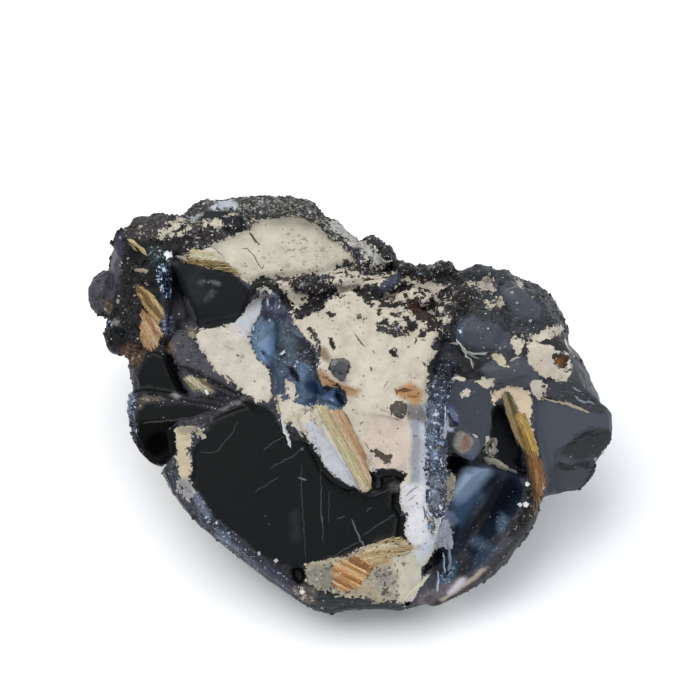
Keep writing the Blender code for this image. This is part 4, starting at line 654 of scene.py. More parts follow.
SCRATCHES = (
    Stroke(outline("-30,-63 -29,-80 -29,-100 -28,-115 -26,-140"), 0.11, 0.01, (42, 44, 46)),
    Stroke(outline("-29,-107 -28,-113 -27,-121"), 0.22, 0.01, (59, 60, 63)),
    Stroke(outline("-49,-59 -48,-95 -46,-125 -44,-155"), 0.09, 0.01, (30, 32, 34)),
    Stroke(outline("-21,-84 -21,-119"), 0.08, 0.01, (27, 29, 30)),
    Stroke(outline("8,-79 9,-107"), 0.08, 0.01, (29, 31, 32)),
    Stroke(outline("1,-113 6,-125 11,-137 16,-143"), 0.22, 0.01, (75, 78, 84)),
    Stroke(outline("-53,-72 -49,-74 -43,-75"), 0.26, 0.01, (99, 101, 102)),
    Stroke(outline("-81,-64 -70,-58 -59,-52 -45,-42"), 0.14, 0.01, (37, 39, 40)),
    Stroke(outline("-88,-47 -78,-38 -64,-30"), 0.11, 0.01, (34, 36, 37)),
    Stroke(outline("-151,-47 -140,-48 -133,-46 -126,-38 -118,-27 -111,-16"), 0.11, 0.01, (32, 34, 37)),
    Stroke(outline("-97,-88 -84,-80 -70,-71"), 0.1, 0.01, (33, 34, 35)),
    Stroke(outline("-20,-155 -5,-144 10,-136"), 0.12, 0.01, (33, 35, 36)),
    Stroke(outline("12,-131 30,-119 47,-108"), 0.14, 0.01, (34, 36, 38)),
    Stroke(outline("21,-92 33,-87 46,-81"), 0.15, 0.01, (43, 45, 44)),
    Stroke(outline("-14,-114 -9,-113 -4,-111"), 0.19, 0.01, (37, 38, 39)),
    Stroke(outline("16,-107 20,-104 23,-102"), 0.19, 0.01, (35, 37, 38)),
    Stroke(outline("-87,-110 -85,-111 -83,-113"), 0.2, 0.01, (43, 44, 45)),
    Stroke(outline("-83,-118 -81,-119 -79,-121"), 0.17, 0.01, (40, 42, 43)),
    Stroke(outline("221,-35 229,-29 238,-23 246,-20"), 0.3, 0.02, (44, 46, 52)),
    Stroke(outline("216,-44 222,-37 234,-33 244,-29"), 0.25, 0.02, (40, 42, 46)),
    Stroke(outline("-208,-18 -185,-16 -163,-14 -145,-9"), 0.2, 0.02, (14, 14, 15)),
    Stroke(outline("54,3 55,-5 54,-12"), 0.25, 0.03, (58, 52, 48)),
    Stroke(outline("74,-5 76,-15 75,-23"), 0.3, 0.02, (96, 92, 92)),
)
CRACKS = (
    Stroke(outline("-110,156 -103,156 -97,151 -93,144 -89,137 -86,134"), 0.13, 0.02, (110, 100, 86)),
    Stroke(outline("-101,173 -98,169 -94,163 -89,157"), 0.35, 0.03, (100, 88, 78)),
    Stroke(outline("-88,135 -87,138 -86,141"), 0.15, 0.02, (120, 110, 96)),
    Stroke(outline("-50,165 -45,166 -41,161"), 0.25, 0.02, (160, 152, 136)),
    Stroke(outline("-126,31 -121,27 -115,23"), 0.3, 0.02, (104, 98, 88)),
    Stroke(outline("-114,50 -112,49 -110,49"), 0.34, 0.03, (72, 64, 54)),
    Stroke(outline("4,72 8,66 12,61 16,58"), 0.2, 0.02, (120, 112, 88)),
    Stroke(outline("65,68 67,64 64,60"), 0.25, 0.02, (86, 78, 66)),
    Stroke(outline("22,55 24,53 25,51"), 0.15, 0.02, (130, 122, 104)),
    Stroke(outline("20,39 21,36 21,33"), 0.25, 0.02, (96, 88, 74)),
    Stroke(outline("33,15 36,22 42,26"), 0.15, 0.02, (150, 140, 120)),
    Stroke(outline("72,43 74,41 75,38"), 0.3, 0.02, (90, 84, 74)),
    Stroke(outline("12,-36 18,-41 21,-47"), 0.15, 0.02, (150, 130, 112)),
    Stroke(outline("10,-20 12,-18 14,-17"), 0.25, 0.02, (150, 140, 122)),
    Stroke(outline("55,-92 61,-86 69,-81"), 0.2, 0.02, (150, 152, 164)),
    Stroke(outline("58,-96 62,-93 67,-90"), 0.2, 0.02, (160, 162, 172)),
    Stroke(outline("-7,-6 -1,-16 4,-28 8,-39"), 0.16, 0.1, (140, 112, 84)),
    Stroke(outline("3,-38 6,-37 9,-36"), 0.3, 0.1, (104, 88, 64)),
    Stroke(outline("46,12 53,15 58,17"), 0.3, 0.04, (88, 66, 44)),
    Stroke(outline("50,13 57,13 63,15"), 0.35, 0.04, (118, 82, 52)),
    Stroke(outline("57,9 63,8 69,9"), 0.3, 0.04, (150, 104, 66)),
    Stroke(outline("44,17 47,13 46,9"), 0.25, 0.04, (104, 84, 62)),
    Stroke(outline("-30,30 -24,28 -19,24 -14,21"), 0.3, 0.05, (136, 104, 72)),
    Stroke(outline("-8,19 -1,16 6,14"), 0.25, 0.05, (150, 118, 84)),
    Stroke(outline("-26,23 -18,19 -10,18"), 0.22, 0.05, (152, 120, 88)),
    Stroke(outline("29,-3 38,-7 44,-14"), 0.15, 0.02, (168, 158, 142)),
    Stroke(outline("-74,12 -72,1 -69,-11 -65,-23"), 0.18, 0.03, (150, 130, 104)),
    Stroke(outline("-50,-3 -42,-6 -36,-6"), 0.2, 0.02, (150, 138, 124)),
    Stroke(outline("50,-111 55,-107 59,-111"), 0.4, 0.03, (70, 70, 76)),
    Stroke(outline("73,-100 75,-107 74,-115"), 0.25, 0.03, (110, 112, 116)),
    Stroke(outline("76,-105 78,-117 80,-125"), 0.2, 0.03, (100, 100, 96)),
    Stroke(outline("81,-100 82,-115 83,-133"), 0.16, 0.03, (150, 150, 130)),
)
VEINS = (
    Stroke(outline("191,9 199,5 210,3 218,1 228,-3 240,-8"), 0.32, 0.06, (178, 165, 143)),
    Stroke(outline("222,18 227,15 233,13"), 0.25, 0.04, (128, 132, 138)),
    Stroke(outline("224,10 229,5 234,3 240,3 245,0"), 0.3, 0.04, (140, 144, 150)),
    # painted light: set lighter than its own cream, against the shade of the slot
    Stroke(outline("133,-52 142,-56 152,-61 160,-65"), 0.7, 0.25, (224, 220, 200)),
    Stroke(outline("157,-64 165,-67 172,-71"), 0.5, 0.2, (180, 182, 184)),
    Stroke(outline("95,1 95,-15 95,-35"), 0.18, 0.08, (206, 212, 222)),
    Stroke(outline("-182,53 -178,45 -173,34"), 0.3, 0.05, (128, 136, 158)),
    Stroke(outline("-173,34 -169,24 -164,14"), 0.18, 0.04, (96, 98, 112)),
    Stroke(outline("-69,-7 -66,-21 -62,-33 -59,-43"), 0.4, 0.1, (222, 222, 220)),
    Stroke(outline("159,43 164,46 171,48"), 0.3, 0.08, (168, 164, 150)),
    Stroke(outline("106,67 109,62 112,57 116,51 119,46"), 0.34, 0.08, (186, 188, 184)),
    Stroke(outline("117,49 121,45 122,41 123,36"), 0.26, 0.08, (170, 172, 168)),
    Stroke(outline("111,59 117,54 124,51 131,51 138,53"), 0.34, 0.08, (178, 180, 176)),
    Stroke(outline("114,54 120,51 126,47 131,46"), 0.2, 0.06, (150, 152, 150)),
    Stroke(outline("99,61 104,62 110,60"), 0.24, 0.06, (164, 166, 162)),
    Stroke(outline("96,-136 99,-146 100,-157 98,-167"), 0.34, 0.12, (170, 180, 196)),
    Stroke(outline("93,-147 94,-157 95,-169"), 0.3, 0.12, (186, 196, 210)),
    Stroke(outline("87,-165 88,-177 87,-188"), 0.34, 0.1, (176, 186, 200)),
    Stroke(outline("80,-169 70,-179 60,-189 52,-199"), 0.5, 0.1, (206, 202, 178)),
    Stroke(outline("-223,166 -216,162 -210,156 -203,149"), 0.44, 0.15, (196, 178, 130)),
    Stroke(outline("-222,162 -217,158 -212,153"), 0.3, 0.12, (150, 130, 84)),
    Stroke(outline("-219,137 -212,135 -205,134 -199,134"), 0.45, 0.12, (160, 150, 128)),
    Stroke(outline("-176,149 -169,146 -160,142"), 0.45, 0.15, (196, 188, 176)),
    Stroke(outline("122,-29 125,-31 128,-33"), 0.34, 0.1, (186, 186, 180)),
    Stroke(outline("-160,-20 -152,-24 -145,-31"), 0.3, 0.1, (150, 148, 136)),
)
CRYSTALS = (
    Stroke(outline("-20,44 -14,47 -5,47 0,44 -1,36 -4,28 -8,24 -14,27 -19,33 -21,39"),
           0.3, 0.45, (84, 84, 88)),
    # painted light: the lighter upper left facet of the hexagonal crystal
    Stroke(outline("-19,43 -14,46 -10,44 -13,39 -18,38"), 0.2, 0.8, (128, 128, 128)),
    # painted shade: its darker lower right facets
    Stroke(outline("-19,33 -14,27 -8,24 -4,28 -7,32 -12,31 -16,37"), 0.2, 0.7, (50, 49, 52)),
    Stroke(outline("28,117 31,122 38,127 46,132 52,133 55,128 49,121 41,115 34,112 29,114"),
           0.3, 0.3, (66, 68, 84)),
    Stroke(outline("-163,74 -160,78 -155,74 -154,68 -158,65 -162,69"), 0.3, 0.3, (138, 132, 104)),
    # painted light: the clay knob set lighter than its own cream, against the shade of the slot
    Stroke(outline("137,-37 140,-33 144,-34 146,-40 144,-47 139,-50 137,-45"), 0.3, 0.3, (226, 220, 200)),
    Stroke(outline("139,-41 140,-38 142,-42 141,-45"), 0.2, 0.42, (50, 44, 36)),
    Stroke(outline("97,-1 101,0 106,-8 109,-19 104,-18 99,-11"), 0.2, 0.3, (104, 114, 142)),
    Stroke(outline("-50,-43 -47,-42 -46,-45 -49,-46"), 0.2, 0.05, (84, 88, 90)),
)
SPARKLES = (
    Stroke(outline("-187,151 -183,155 -180,153 -178,155 -175,151 -177,147 -181,147 -184,144"), 0.3, 0.35,
           (244, 244, 244)),
    Stroke(outline("-178,148 -174,150 -170,149 -172,146 -176,145"), 0.3, 0.3, (222, 222, 220)),
    Stroke(outline("-146,15 -143,16 -140,11 -143,9"), 0.3, 0.3, (238, 238, 234)),
    Stroke(outline("-51,-186 -47,-184 -44,-187 -47,-190 -50,-189"), 0.3, 0.25, (240, 238, 230)),
    Stroke(outline("175,-77 178,-76 181,-79 178,-82 175,-81"), 0.3, 0.25, (226, 228, 230)),
    Stroke(outline("166,-99 170,-97 173,-100 170,-103"), 0.3, 0.25, (222, 224, 226)),
    Stroke(outline("172,-98 176,-96 180,-99 177,-103 173,-102"), 0.3, 0.28, (232, 234, 236)),
    Stroke(outline("-93,-147 -90,-146 -89,-150 -92,-151"), 0.3, 0.15, (170, 174, 186)),
    Stroke(outline("-77,-155 -73,-153 -71,-156 -75,-159"), 0.3, 0.15, (180, 182, 186)),
    Stroke(outline("-153,-98 -150,-99 -151,-102"), 0.3, 0.12, (160, 162, 170)),
    Stroke(outline("-129,-127 -126,-126 -126,-129"), 0.3, 0.12, (160, 162, 170)),
    Stroke(outline("-106,-143 -103,-144 -104,-147"), 0.3, 0.12, (160, 162, 170)),
    Stroke(outline("88,-100 91,-99 93,-103 90,-106"), 0.3, 0.2, (216, 220, 226)),
    Stroke(outline("108,75 111,76 112,72 110,71"), 0.3, 0.2, (220, 228, 236)),
    Stroke(outline("165,103 168,104 169,101 166,100"), 0.3, 0.12, (144, 154, 166)),
    Stroke(outline("178,85 182,86 182,83 179,82"), 0.3, 0.12, (156, 164, 172)),
    Stroke(outline("-72,50 -66,55 -63,57 -64,53 -69,49"), 0.3, 0.2, (208, 222, 232)),
    Stroke(outline("-84,108 -81,106 -81,100 -83,98"), 0.3, 0.15, (206, 214, 228)),
    Stroke(outline("-77,98 -70,102 -69,99 -74,94"), 0.3, 0.15, (206, 214, 228)),
    Stroke(outline("-72,107 -69,105 -70,101"), 0.3, 0.15, (190, 200, 216)),
    Stroke(outline("-83,86 -80,87 -79,84 -82,83"), 0.3, 0.15, (190, 202, 216)),
    Stroke(outline("-98,79 -96,81 -95,75 -98,72"), 0.3, 0.12, (180, 196, 214)),
    Stroke(outline("-96,67 -93,69 -93,64"), 0.3, 0.12, (150, 172, 198)),
    Stroke(outline("-64,76 -61,77 -60,74 -62,73"), 0.3, 0.12, (150, 166, 182)),
    Stroke(outline("-68,73 -66,74 -65,71"), 0.3, 0.12, (140, 156, 172)),
    Stroke(outline("-55,44 -52,46 -50,42 -53,40"), 0.3, 0.15, (120, 148, 168)),
    Stroke(outline("30,148 36,151 42,148 43,143 37,141 31,143"), 0.3, 0.3, (212, 214, 188)),
    Stroke(outline("-232,168 -229,169 -229,165"), 0.3, 0.1, (150, 154, 166)),
    Stroke(outline("-231,142 -229,140 -230,137"), 0.3, 0.1, (150, 154, 166)),
    Stroke(outline("-215,-25 -212,-22 -211,-27 -214,-29"), 0.3, 0.15, (180, 186, 206)),
    Stroke(outline("104,104 107,105 108,102 105,101"), 0.3, 0.12, (150, 158, 164)),
    Stroke(outline("192,-82 196,-81 197,-85 193,-86"), 0.3, 0.12, (186, 168, 158)),
    Stroke(outline("-31,-203 -27,-201 -26,-205 -29,-206"), 0.3, 0.1, (150, 150, 148)),
    Stroke(outline("-66,119 -62,120 -61,115 -65,114"), 0.3, 0.12, (176, 172, 168)),
    Stroke(outline("166,124 169,124 173,119 170,118"), 0.3, 0.1, (170, 166, 166)),
)
# the near-white and silvery-blue ones among them are painted glints
STREWN = (                     # region, number of small crystals, their size, their colours
    (RIDGE, 170, 0.17, ((150, 168, 190), (120, 138, 164), (200, 212, 226), (44, 54, 72), (176, 188, 206))),
    (LEFT_RIM, 60, 0.16, ((140, 150, 180), (96, 104, 134), (190, 200, 224), (24, 26, 34))),
    (LOWER_RIM, 150, 0.16,
     ((116, 126, 156), (86, 94, 122), (158, 170, 200), (24, 26, 34), (204, 212, 230), (16, 18, 24))),
    (BLUE_GROOVE, 60, 0.18, ((184, 202, 224), (112, 142, 180), (52, 76, 112), (228, 236, 244))),
    (TEAL_GROOVE, 24, 0.14, ((104, 126, 130), (150, 168, 176), (60, 80, 84))),
    (PURPLE_SPARK, 26, 0.15, ((120, 128, 156), (90, 96, 120), (150, 158, 178))),
    (LENS_SPARK, 20, 0.12, ((110, 140, 170), (70, 96, 124))),
    (BLUE_ALL, 46, 0.13, ((112, 134, 156), (88, 112, 138), (54, 66, 88), (140, 158, 176))),
    (BOWL_TEAL, 30, 0.16, ((120, 150, 174), (84, 116, 144), (160, 184, 200))),
    (DISH_GLINT, 14, 0.16, ((120, 142, 170), (100, 122, 150))),
    (DISH_GLINT_B, 10, 0.18, ((130, 152, 178), (104, 120, 144))),
    (BLUE_HEAD, 16, 0.13, ((176, 186, 208), (110, 120, 150))),
    (RIM_CRUST, 250, 0.18, ((136, 134, 130), (176, 172, 164), (22, 22, 24), (28, 28, 29), (212, 208, 198))),
    (DARK_CHUNK, 54, 0.16, ((150, 146, 144), (108, 104, 104), (62, 57, 60))),
    (DARK_LEDGE, 44, 0.15, ((156, 152, 146), (110, 106, 102), (30, 29, 29))),
    (BAND_CREST, 60, 0.15, ((120, 118, 116), (160, 156, 150), (30, 30, 32))),
    (RIGHT_MASS, 90, 0.15, ((96, 98, 102), (130, 126, 118), (60, 62, 66))),
    (BAND_RIGHT, 50, 0.15, ((120, 124, 134), (160, 154, 146), (60, 56, 56))),
    (GREY_WEDGE, 44, 0.14, ((104, 98, 94), (46, 42, 44), (134, 128, 120), (38, 34, 36))),
)

CLAY_STREWN = (
    (FOOT_GREY, 60, 0.17, ((150, 148, 136), (112, 108, 98), (176, 170, 152), (80, 76, 70))),
    (FOOT_BITS, 50, 0.2, ((172, 166, 152), (128, 120, 104), (196, 188, 166), (98, 92, 84))),
    (FOOT_MAUVE, 24, 0.18, ((156, 150, 144), (116, 110, 104), (184, 178, 166))),
    (CLAY_FOOT, 50, 0.16, ((186, 172, 140), (150, 136, 108), (206, 196, 170), (104, 94, 78))),
    (RIGHT_MASS, 46, 0.13, ((176, 168, 152), (132, 126, 114), (150, 142, 128))),
    (CLAY_BAND, 90, 0.13, ((96, 84, 72), (176, 166, 150), (60, 52, 46), (204, 196, 180))),
    (CROWN, 30, 0.13, ((150, 144, 134), (112, 106, 98))),
    (CLAY_CENTRE, 60, 0.1, ((170, 160, 142), (200, 190, 170), (120, 108, 92))),
)


# ---------------------------------------------------------------- rutile sprays
Spray = namedtuple("Spray", "node outline angle spread length thick count stripe colours root",
                   defaults=(None,))
SPRAYS = (
    Spray("rutile_left", LEFT_GOLD, -52, 6, (0.7, 2.2), 0.06, 260, 0.5,
          ((132, 106, 70), (182, 154, 104), (202, 178, 124), (214, 196, 148))),
    Spray("rutile_left", LEFT_ORANGE, -56, 9, (0.6, 1.9), 0.065, 280, 0.5,
          ((136, 100, 68), (180, 140, 100), (200, 162, 122), (214, 190, 158))),
    Spray("rutile_upper", UPPER_FAN, -8, 14, (0.5, 1.8), 0.05, 300, 0.45,
          ((164, 142, 98), (200, 180, 134), (216, 202, 162), (224, 215, 188)), (-18.5, 14.2)),
    Spray("rutile_wedge", OLIVE_WEDGE, -34, 16, (0.4, 1.4), 0.07, 160, 0.3,
          ((112, 106, 80), (152, 144, 112), (180, 170, 138), (206, 198, 174))),
    Spray("rutile_centre", CENTRE_MID, -62, 2.5, (1.2, 4.2), 0.085, 300, 0.45,
          ((180, 142, 104), (196, 160, 120), (206, 172, 136), (216, 192, 164))),
    Spray("rutile_centre", CENTRE_EDGE, -62, 2, (1.4, 4.5), 0.085, 240, 0.4,
          ((190, 176, 138), (208, 196, 158), (216, 206, 176))),
    Spray("rutile_foot", FOOT_STRIPES, -28, 3, (1.0, 3.0), 0.07, 460, 0.26,
          ((160, 114, 70), (196, 146, 94), (214, 168, 112), (228, 198, 156))),
    Spray("rutile_foot", FOOT_GOLD, 8, 10, (0.5, 1.6), 0.05, 320, 0.5,
          ((190, 164, 122), (206, 184, 140), (214, 200, 166), (222, 212, 190))),
    Spray("rutile_right", RIGHT_OLIVE, -70, 4, (1.0, 2.6), 0.07, 150, 0.4,
          ((96, 90, 66), (124, 112, 78), (150, 130, 88), (172, 150, 112))),
    Spray("rutile_right", RIGHT_GOLD, -66, 4, (1.0, 3.0), 0.075, 220, 0.35,
          ((128, 102, 56), (168, 138, 76), (194, 162, 88), (206, 180, 116))),
    Spray("rutile_right", RIGHT_BROWN, -80, 5, (0.9, 2.8), 0.07, 260, 0.4,
          ((92, 68, 48), (132, 96, 62), (158, 114, 68), (170, 138, 108))),
)


# ---------------------------------------------------------------- places
SIN, COS = math.sin(SLOPE), math.cos(SLOPE)
OUTWARD = np.array((0.0, -COS, SIN))   # the direction from the plane to the camera


def to_plane(points):
    """Points of the frame in the drawing plane's own u, v and w."""
    x, y, z = (points - np.array(PLANE_ORIGIN)).T
    return np.stack((x, y * SIN + z * COS, z * SIN - y * COS), axis=1)


def from_plane(places):
    """The reverse of to_plane."""
    u, v, w = np.asarray(places, float).reshape(-1, 3).T
    return np.stack((u, v * SIN - w * COS, v * COS + w * SIN), axis=1) + np.array(PLANE_ORIGIN)


def seen(points):
    """Where points of the frame show on the drawing plane."""
    u, v, w = to_plane(points).T
    nearer = EYE_DISTANCE / (EYE_DISTANCE - w)
    return np.stack((u * nearer, EYE_V + (v - EYE_V) * nearer), axis=1)


def region_distance(places, region):
    """How far inside a region each place is, and below zero outside it. Far from it, this is just -FAR."""
    corners = np.array(region, float)
    close = ((places > corners.min(axis=0) - NEARBY) & (places < corners.max(axis=0) + NEARBY)).all(axis=1)
    distance = np.full(len(places), -FAR)
    distance[close] = near_distance(places[close], corners)
    return distance


def near_distance(places, corners):
    """The same for places near the region, side by side."""
    inside = np.zeros(len(places), bool)
    nearest = np.full(len(places), FAR)
    for (au, av), (bu, bv) in zip(corners, np.roll(corners, -1, axis=0)):
        along = np.array((bu - au, bv - av))
        share = ((places - (au, av)) @ along / max(along @ along, 1e-9)).clip(0, 1)
        off = places - (au, av) - share[:, None] * along
        nearest = np.minimum(nearest, (off ** 2).sum(axis=1))
        crosses = (av > places[:, 1]) != (bv > places[:, 1])
        level = au + (places[:, 1] - av) * along[0] / (along[1] if along[1] else 1e-9)
        inside ^= crosses & (places[:, 0] < level)
    return np.where(inside, 1, -1) * np.sqrt(nearest)


# ---------------------------------------------------------------- noise
def random_at(cell, seed):
    """A repeatable number from 0 to 1 for each whole-number cell."""
    i, j, k = (cell.astype(np.int64) & 0xffffffff).astype(np.uint64).T
    mixed = (i * 73856093) ^ (j * 19349663) ^ (k * 83492791) ^ np.uint64(seed * 2654435761 % 2 ** 32)
    for shift in (15, 13, 16):
        mixed = ((mixed ^ (mixed >> np.uint64(shift))) * 2246822519) & np.uint64(0xffffffff)
    return mixed.astype(float) / 2 ** 32


def noise(points, size, seed=0):
    """Smooth noise from -1 to 1, with features of the given size."""
    cell = points / size
    base = np.floor(cell)
    share = cell - base
    share = share * share * share * (share * (share * 6 - 15) + 10)
    total = np.zeros(len(points))
    for corner in np.ndindex(2, 2, 2):
        weight = np.where(np.array(corner), share, 1 - share).prod(axis=1)
        total += weight * random_at(base + corner, seed)
    return total * 2 - 1


def rough_noise(points, size, seed=0, octaves=3):
    """Noise with finer noise on it, each octave half the size of the one before."""
    total, strength = 0, 1.0
    for octave in range(octaves):
        total = total + strength * noise(points, size / 2 ** octave, seed + octave * 17)
        strength *= 0.55
    return total / 1.6


def grains(points, size, seed=0):
    """Scattered grains: distance to the nearest centre in grain sizes, and that grain's own number."""
    cell = points / size
    base = np.floor(cell)
    nearest = np.full(len(points), np.inf)
    number = np.zeros(len(points))
    for step in np.ndindex(3, 3, 3):
        home = base + step - 1
        centre = home + np.stack([random_at(home, seed + axis) for axis in (1, 2, 3)], axis=1)
        away = np.sqrt(((cell - centre) ** 2).sum(axis=1))
        closer = away < nearest
        number = np.where(closer, random_at(home, seed + 5), number)
        nearest = np.where(closer, away, nearest)
    return nearest, number


def smooth_step(value, low, high):
    """0 below low, 1 above high and a smooth change between them."""
    share = ((value - low) / (high - low)).clip(0, 1)
    return share * share * (3 - 2 * share)


# ---------------------------------------------------------------- triangle meshes
def triangles_of(name):
    """A CAD node's points in millimetres and its triangles."""
    points, faces = mesh_arrays(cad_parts[name].data)
    _, keep, index = np.unique((points / MM).round(4), axis=0, return_index=True, return_inverse=True)
    return points[keep] / MM, index.ravel()[faces]


def point_normals(points, faces):
    """Each point's normal, from the faces round it."""
    a, b, c = (points[faces[:, i]] for i in range(3))
    across = np.cross(b - a, c - a)
    total = np.zeros_like(points)
    for i in range(3):
        for axis in range(3):
            total[:, axis] += np.bincount(faces[:, i], across[:, axis], len(points))
    return total / np.linalg.norm(total, axis=1, keepdims=True).clip(1e-12)


def remeshed(points, faces, spacing, keep_behind=1.0):
    """The same shape in even quads cut in two, thinned out where it faces away from the camera."""
    mesh = bpy.data.meshes.new("shape")
    mesh.from_pydata(points.tolist(), [], faces.tolist())
    helper = bpy.data.objects.new("shape", mesh)
    bpy.context.scene.collection.objects.link(helper)
    even = helper.modifiers.new("even", "REMESH")
    even.mode = "VOXEL"
    even.voxel_size = spacing
    apply_modifiers(helper)
    if keep_behind < 1:
        thin_out(helper, keep_behind)
    points, faces = mesh_arrays(helper.data)
    bpy.data.objects.remove(helper)
    return points, faces


def apply_modifiers(helper):
    """Makes what the helper's modifiers show into its own mesh."""
    graph = bpy.context.evaluated_depsgraph_get()
    made = bpy.data.meshes.new_from_object(helper.evaluated_get(graph))
    helper.modifiers.clear()
    helper.data = made


def thin_out(helper, keep):
    """Keeps only a share of the faces that are turned away from the camera."""
    points, faces = mesh_arrays(helper.data)
    behind = point_normals(points, faces) @ OUTWARD < -0.1
    group = helper.vertex_groups.new(name="behind")
    group.add(np.flatnonzero(behind).tolist(), 1, "REPLACE")
    thin = helper.modifiers.new("thin", "DECIMATE")
    thin.vertex_group = "behind"
    thin.ratio = 1 - (1 - keep) * behind.mean()
    apply_modifiers(helper)


def mesh_arrays(mesh):
    """A mesh's points and its triangles as arrays."""
    mesh.calc_loop_triangles()
    points = np.empty(len(mesh.vertices) * 3)
    mesh.vertices.foreach_get("co", points)
    faces = np.empty(len(mesh.loop_triangles) * 3, np.int64)
    mesh.loop_triangles.foreach_get("vertices", faces)
    return points.reshape(-1, 3), faces.reshape(-1, 3)


def relaxed(points, faces, strength, steps):
    """Points drawn towards their neighbours' middle, by each one's own strength."""
    sides = np.stack((faces, np.roll(faces, -1, axis=1)), axis=2).reshape(-1, 2)
    degree = np.bincount(sides.ravel(), minlength=len(points)).clip(1)
    for _ in range(steps):
        total = np.stack([np.bincount(sides[:, 0], points[sides[:, 1], axis], len(points))
                          + np.bincount(sides[:, 1], points[sides[:, 0], axis], len(points))
                          for axis in range(3)], axis=1)
        points = points + strength[:, None] * (total / degree[:, None] - points)
    return points


def inside_box(points):
    """Points kept within the solids' own box, and off the face that it rests on."""
    low, high = (np.array(corner) / MM for corner in cad_box)
    return points.clip(low + 0.01, high - 0.01)


def build_mesh(name, points, faces, fields=(), sharp=math.radians(38)):
    """An object from triangles. A field is a name with one number or one colour for each point."""
    mesh = bpy.data.meshes.new(name)
    mesh.vertices.add(len(points))
    mesh.vertices.foreach_set("co", (inside_box(points) * MM).ravel())
    mesh.loops.add(faces.size)
    mesh.loops.foreach_set("vertex_index", faces.astype(np.int32).ravel())
    mesh.polygons.add(len(faces))
    mesh.polygons.foreach_set("loop_start", np.arange(0, faces.size, 3, dtype=np.int32))
    mesh.update(calc_edges=True)
    for label, values in fields:
        if values.ndim == 1:
            mesh.attributes.new(label, "FLOAT", "POINT").data.foreach_set("value", values.astype(np.float32))
        else:
            whole = np.concatenate((values, np.ones((len(values), 1))), axis=1)
            mesh.attributes.new(label, "FLOAT_COLOR", "POINT").data.foreach_set("color", whole.ravel())
    mesh.polygons.foreach_set("use_smooth", np.ones(len(faces), bool))
    mesh.set_sharp_from_angle(angle=sharp)
    made = bpy.data.objects.new(name, mesh)
    bpy.context.scene.collection.objects.link(made)
    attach(made, "root")
    return made


# ---------------------------------------------------------------- what covers a point
def linear(colour):
    """A colour as it shows under the studio's light, 0 to 255, as the linear values that shaders take."""
    share = np.array(colour, float) / 255
    return np.where(share <= 0.04045, share / 12.92, ((share + 0.055) / 1.055) ** 2.4) / LIGHT_LEVEL


def wandering(points):
    """Where points show on the plane, strayed a little so that no border is straight."""
    stray = np.stack([rough_noise(points, 1.1, seed, 3) for seed in (31, 47)], axis=1)
    return seen(points) + WANDER * stray


def clay_depth(points, places, facing):
    """How far inside the clay each point is, in millimetres, and below zero on the stone."""
    depth = np.full(len(points), -9.0)
    for region in CLAY_REGIONS:
        depth = np.maximum(depth, region_distance(places, region))
    streaked = to_plane(points) * (1, 1.9, 1)
    mixed = 1.1 * rough_noise(streaked, 0.9, 71, 3)
    for region, shares in MIXED_REGIONS:
        share = np.interp(places[:, 0], *np.array(shares).T)
        depth = np.maximum(depth, np.minimum(region_distance(places, region), mixed + share))
    for region in CLAY_HOLES:
        depth = np.minimum(depth, -region_distance(places, region))
    for region in CLAY_ISLANDS:
        depth = np.maximum(depth, region_distance(places, region))
    hidden = 2.2 * (rough_noise(points, 8.0, 5, 4) - BACK_CLAY_LEVEL)
    return np.where(facing > 0, depth, np.minimum(hidden, 2.0)) * smooth_step(abs(facing), 0, 0.06)


def coat(points, normals):
    """What covers each point: colours, depth in clay, sparkle, roughness, crumble and swelling."""
    places = wandering(points)
    facing = normals @ OUTWARD - FACING
    front = smooth_step(facing, -0.08, 0.04)
    drift_size, rust_size, crumble_size = BACK_SIZES
    drift = smooth_step(rough_noise(points, drift_size, 11), -0.5, 0.5)
    stone = linear(BACK_DARK) + drift[:, None] * (linear(BACK_PALE) - linear(BACK_DARK))
    rust = smooth_step(rough_noise(points, rust_size, 23), 0.25, 0.6) * 0.5
    stone = stone + rust[:, None] * (linear(BACK_RUST) - stone)
    even = np.ones(len(points))
    loose = smooth_step(rough_noise(points, crumble_size, 29), -0.1, 0.5)
    sparkle = BACK_SPARKLE + BACK_SPARKLE_RANGE * drift
    crumble = BACK_CRUMBLE + BACK_CRUMBLE_RANGE * loose
    fields = np.stack((sparkle, BACK_ROUGHNESS * even, crumble, BACK_SWELL * even, BACK_FLECKS * even),
                      axis=1)
    for patch in STONE_PATCHES:
        share = smooth_step(region_distance(places, patch.outline), -patch.soft, patch.soft) * front
        stone += share[:, None] * (linear(patch.colour) - stone)
        fields += share[:, None] * (np.array(patch[2:7]) - fields)
    earth = np.repeat([linear(CLAY_COLOUR)], len(points), axis=0)
    for tint in CLAY_TINTS:
        share = smooth_step(region_distance(places, tint.outline), -tint.soft, tint.soft) * front
        earth += share[:, None] * (linear(tint.colour) - earth)
    sparkle, roughness, crumble, swell, flecks = fields.T
    dome = np.zeros(len(points))
    for region, height, rim in DOMES:
        dome += height * smooth_step(region_distance(places, region), 0, rim) * front
    return {"stone": stone, "earth": earth, "clay": clay_depth(points, places, facing), "sparkle": sparkle,
            "rough": roughness, "crumble": crumble, "swell": swell, "flecks": flecks, "front": front,
            "dome": dome}


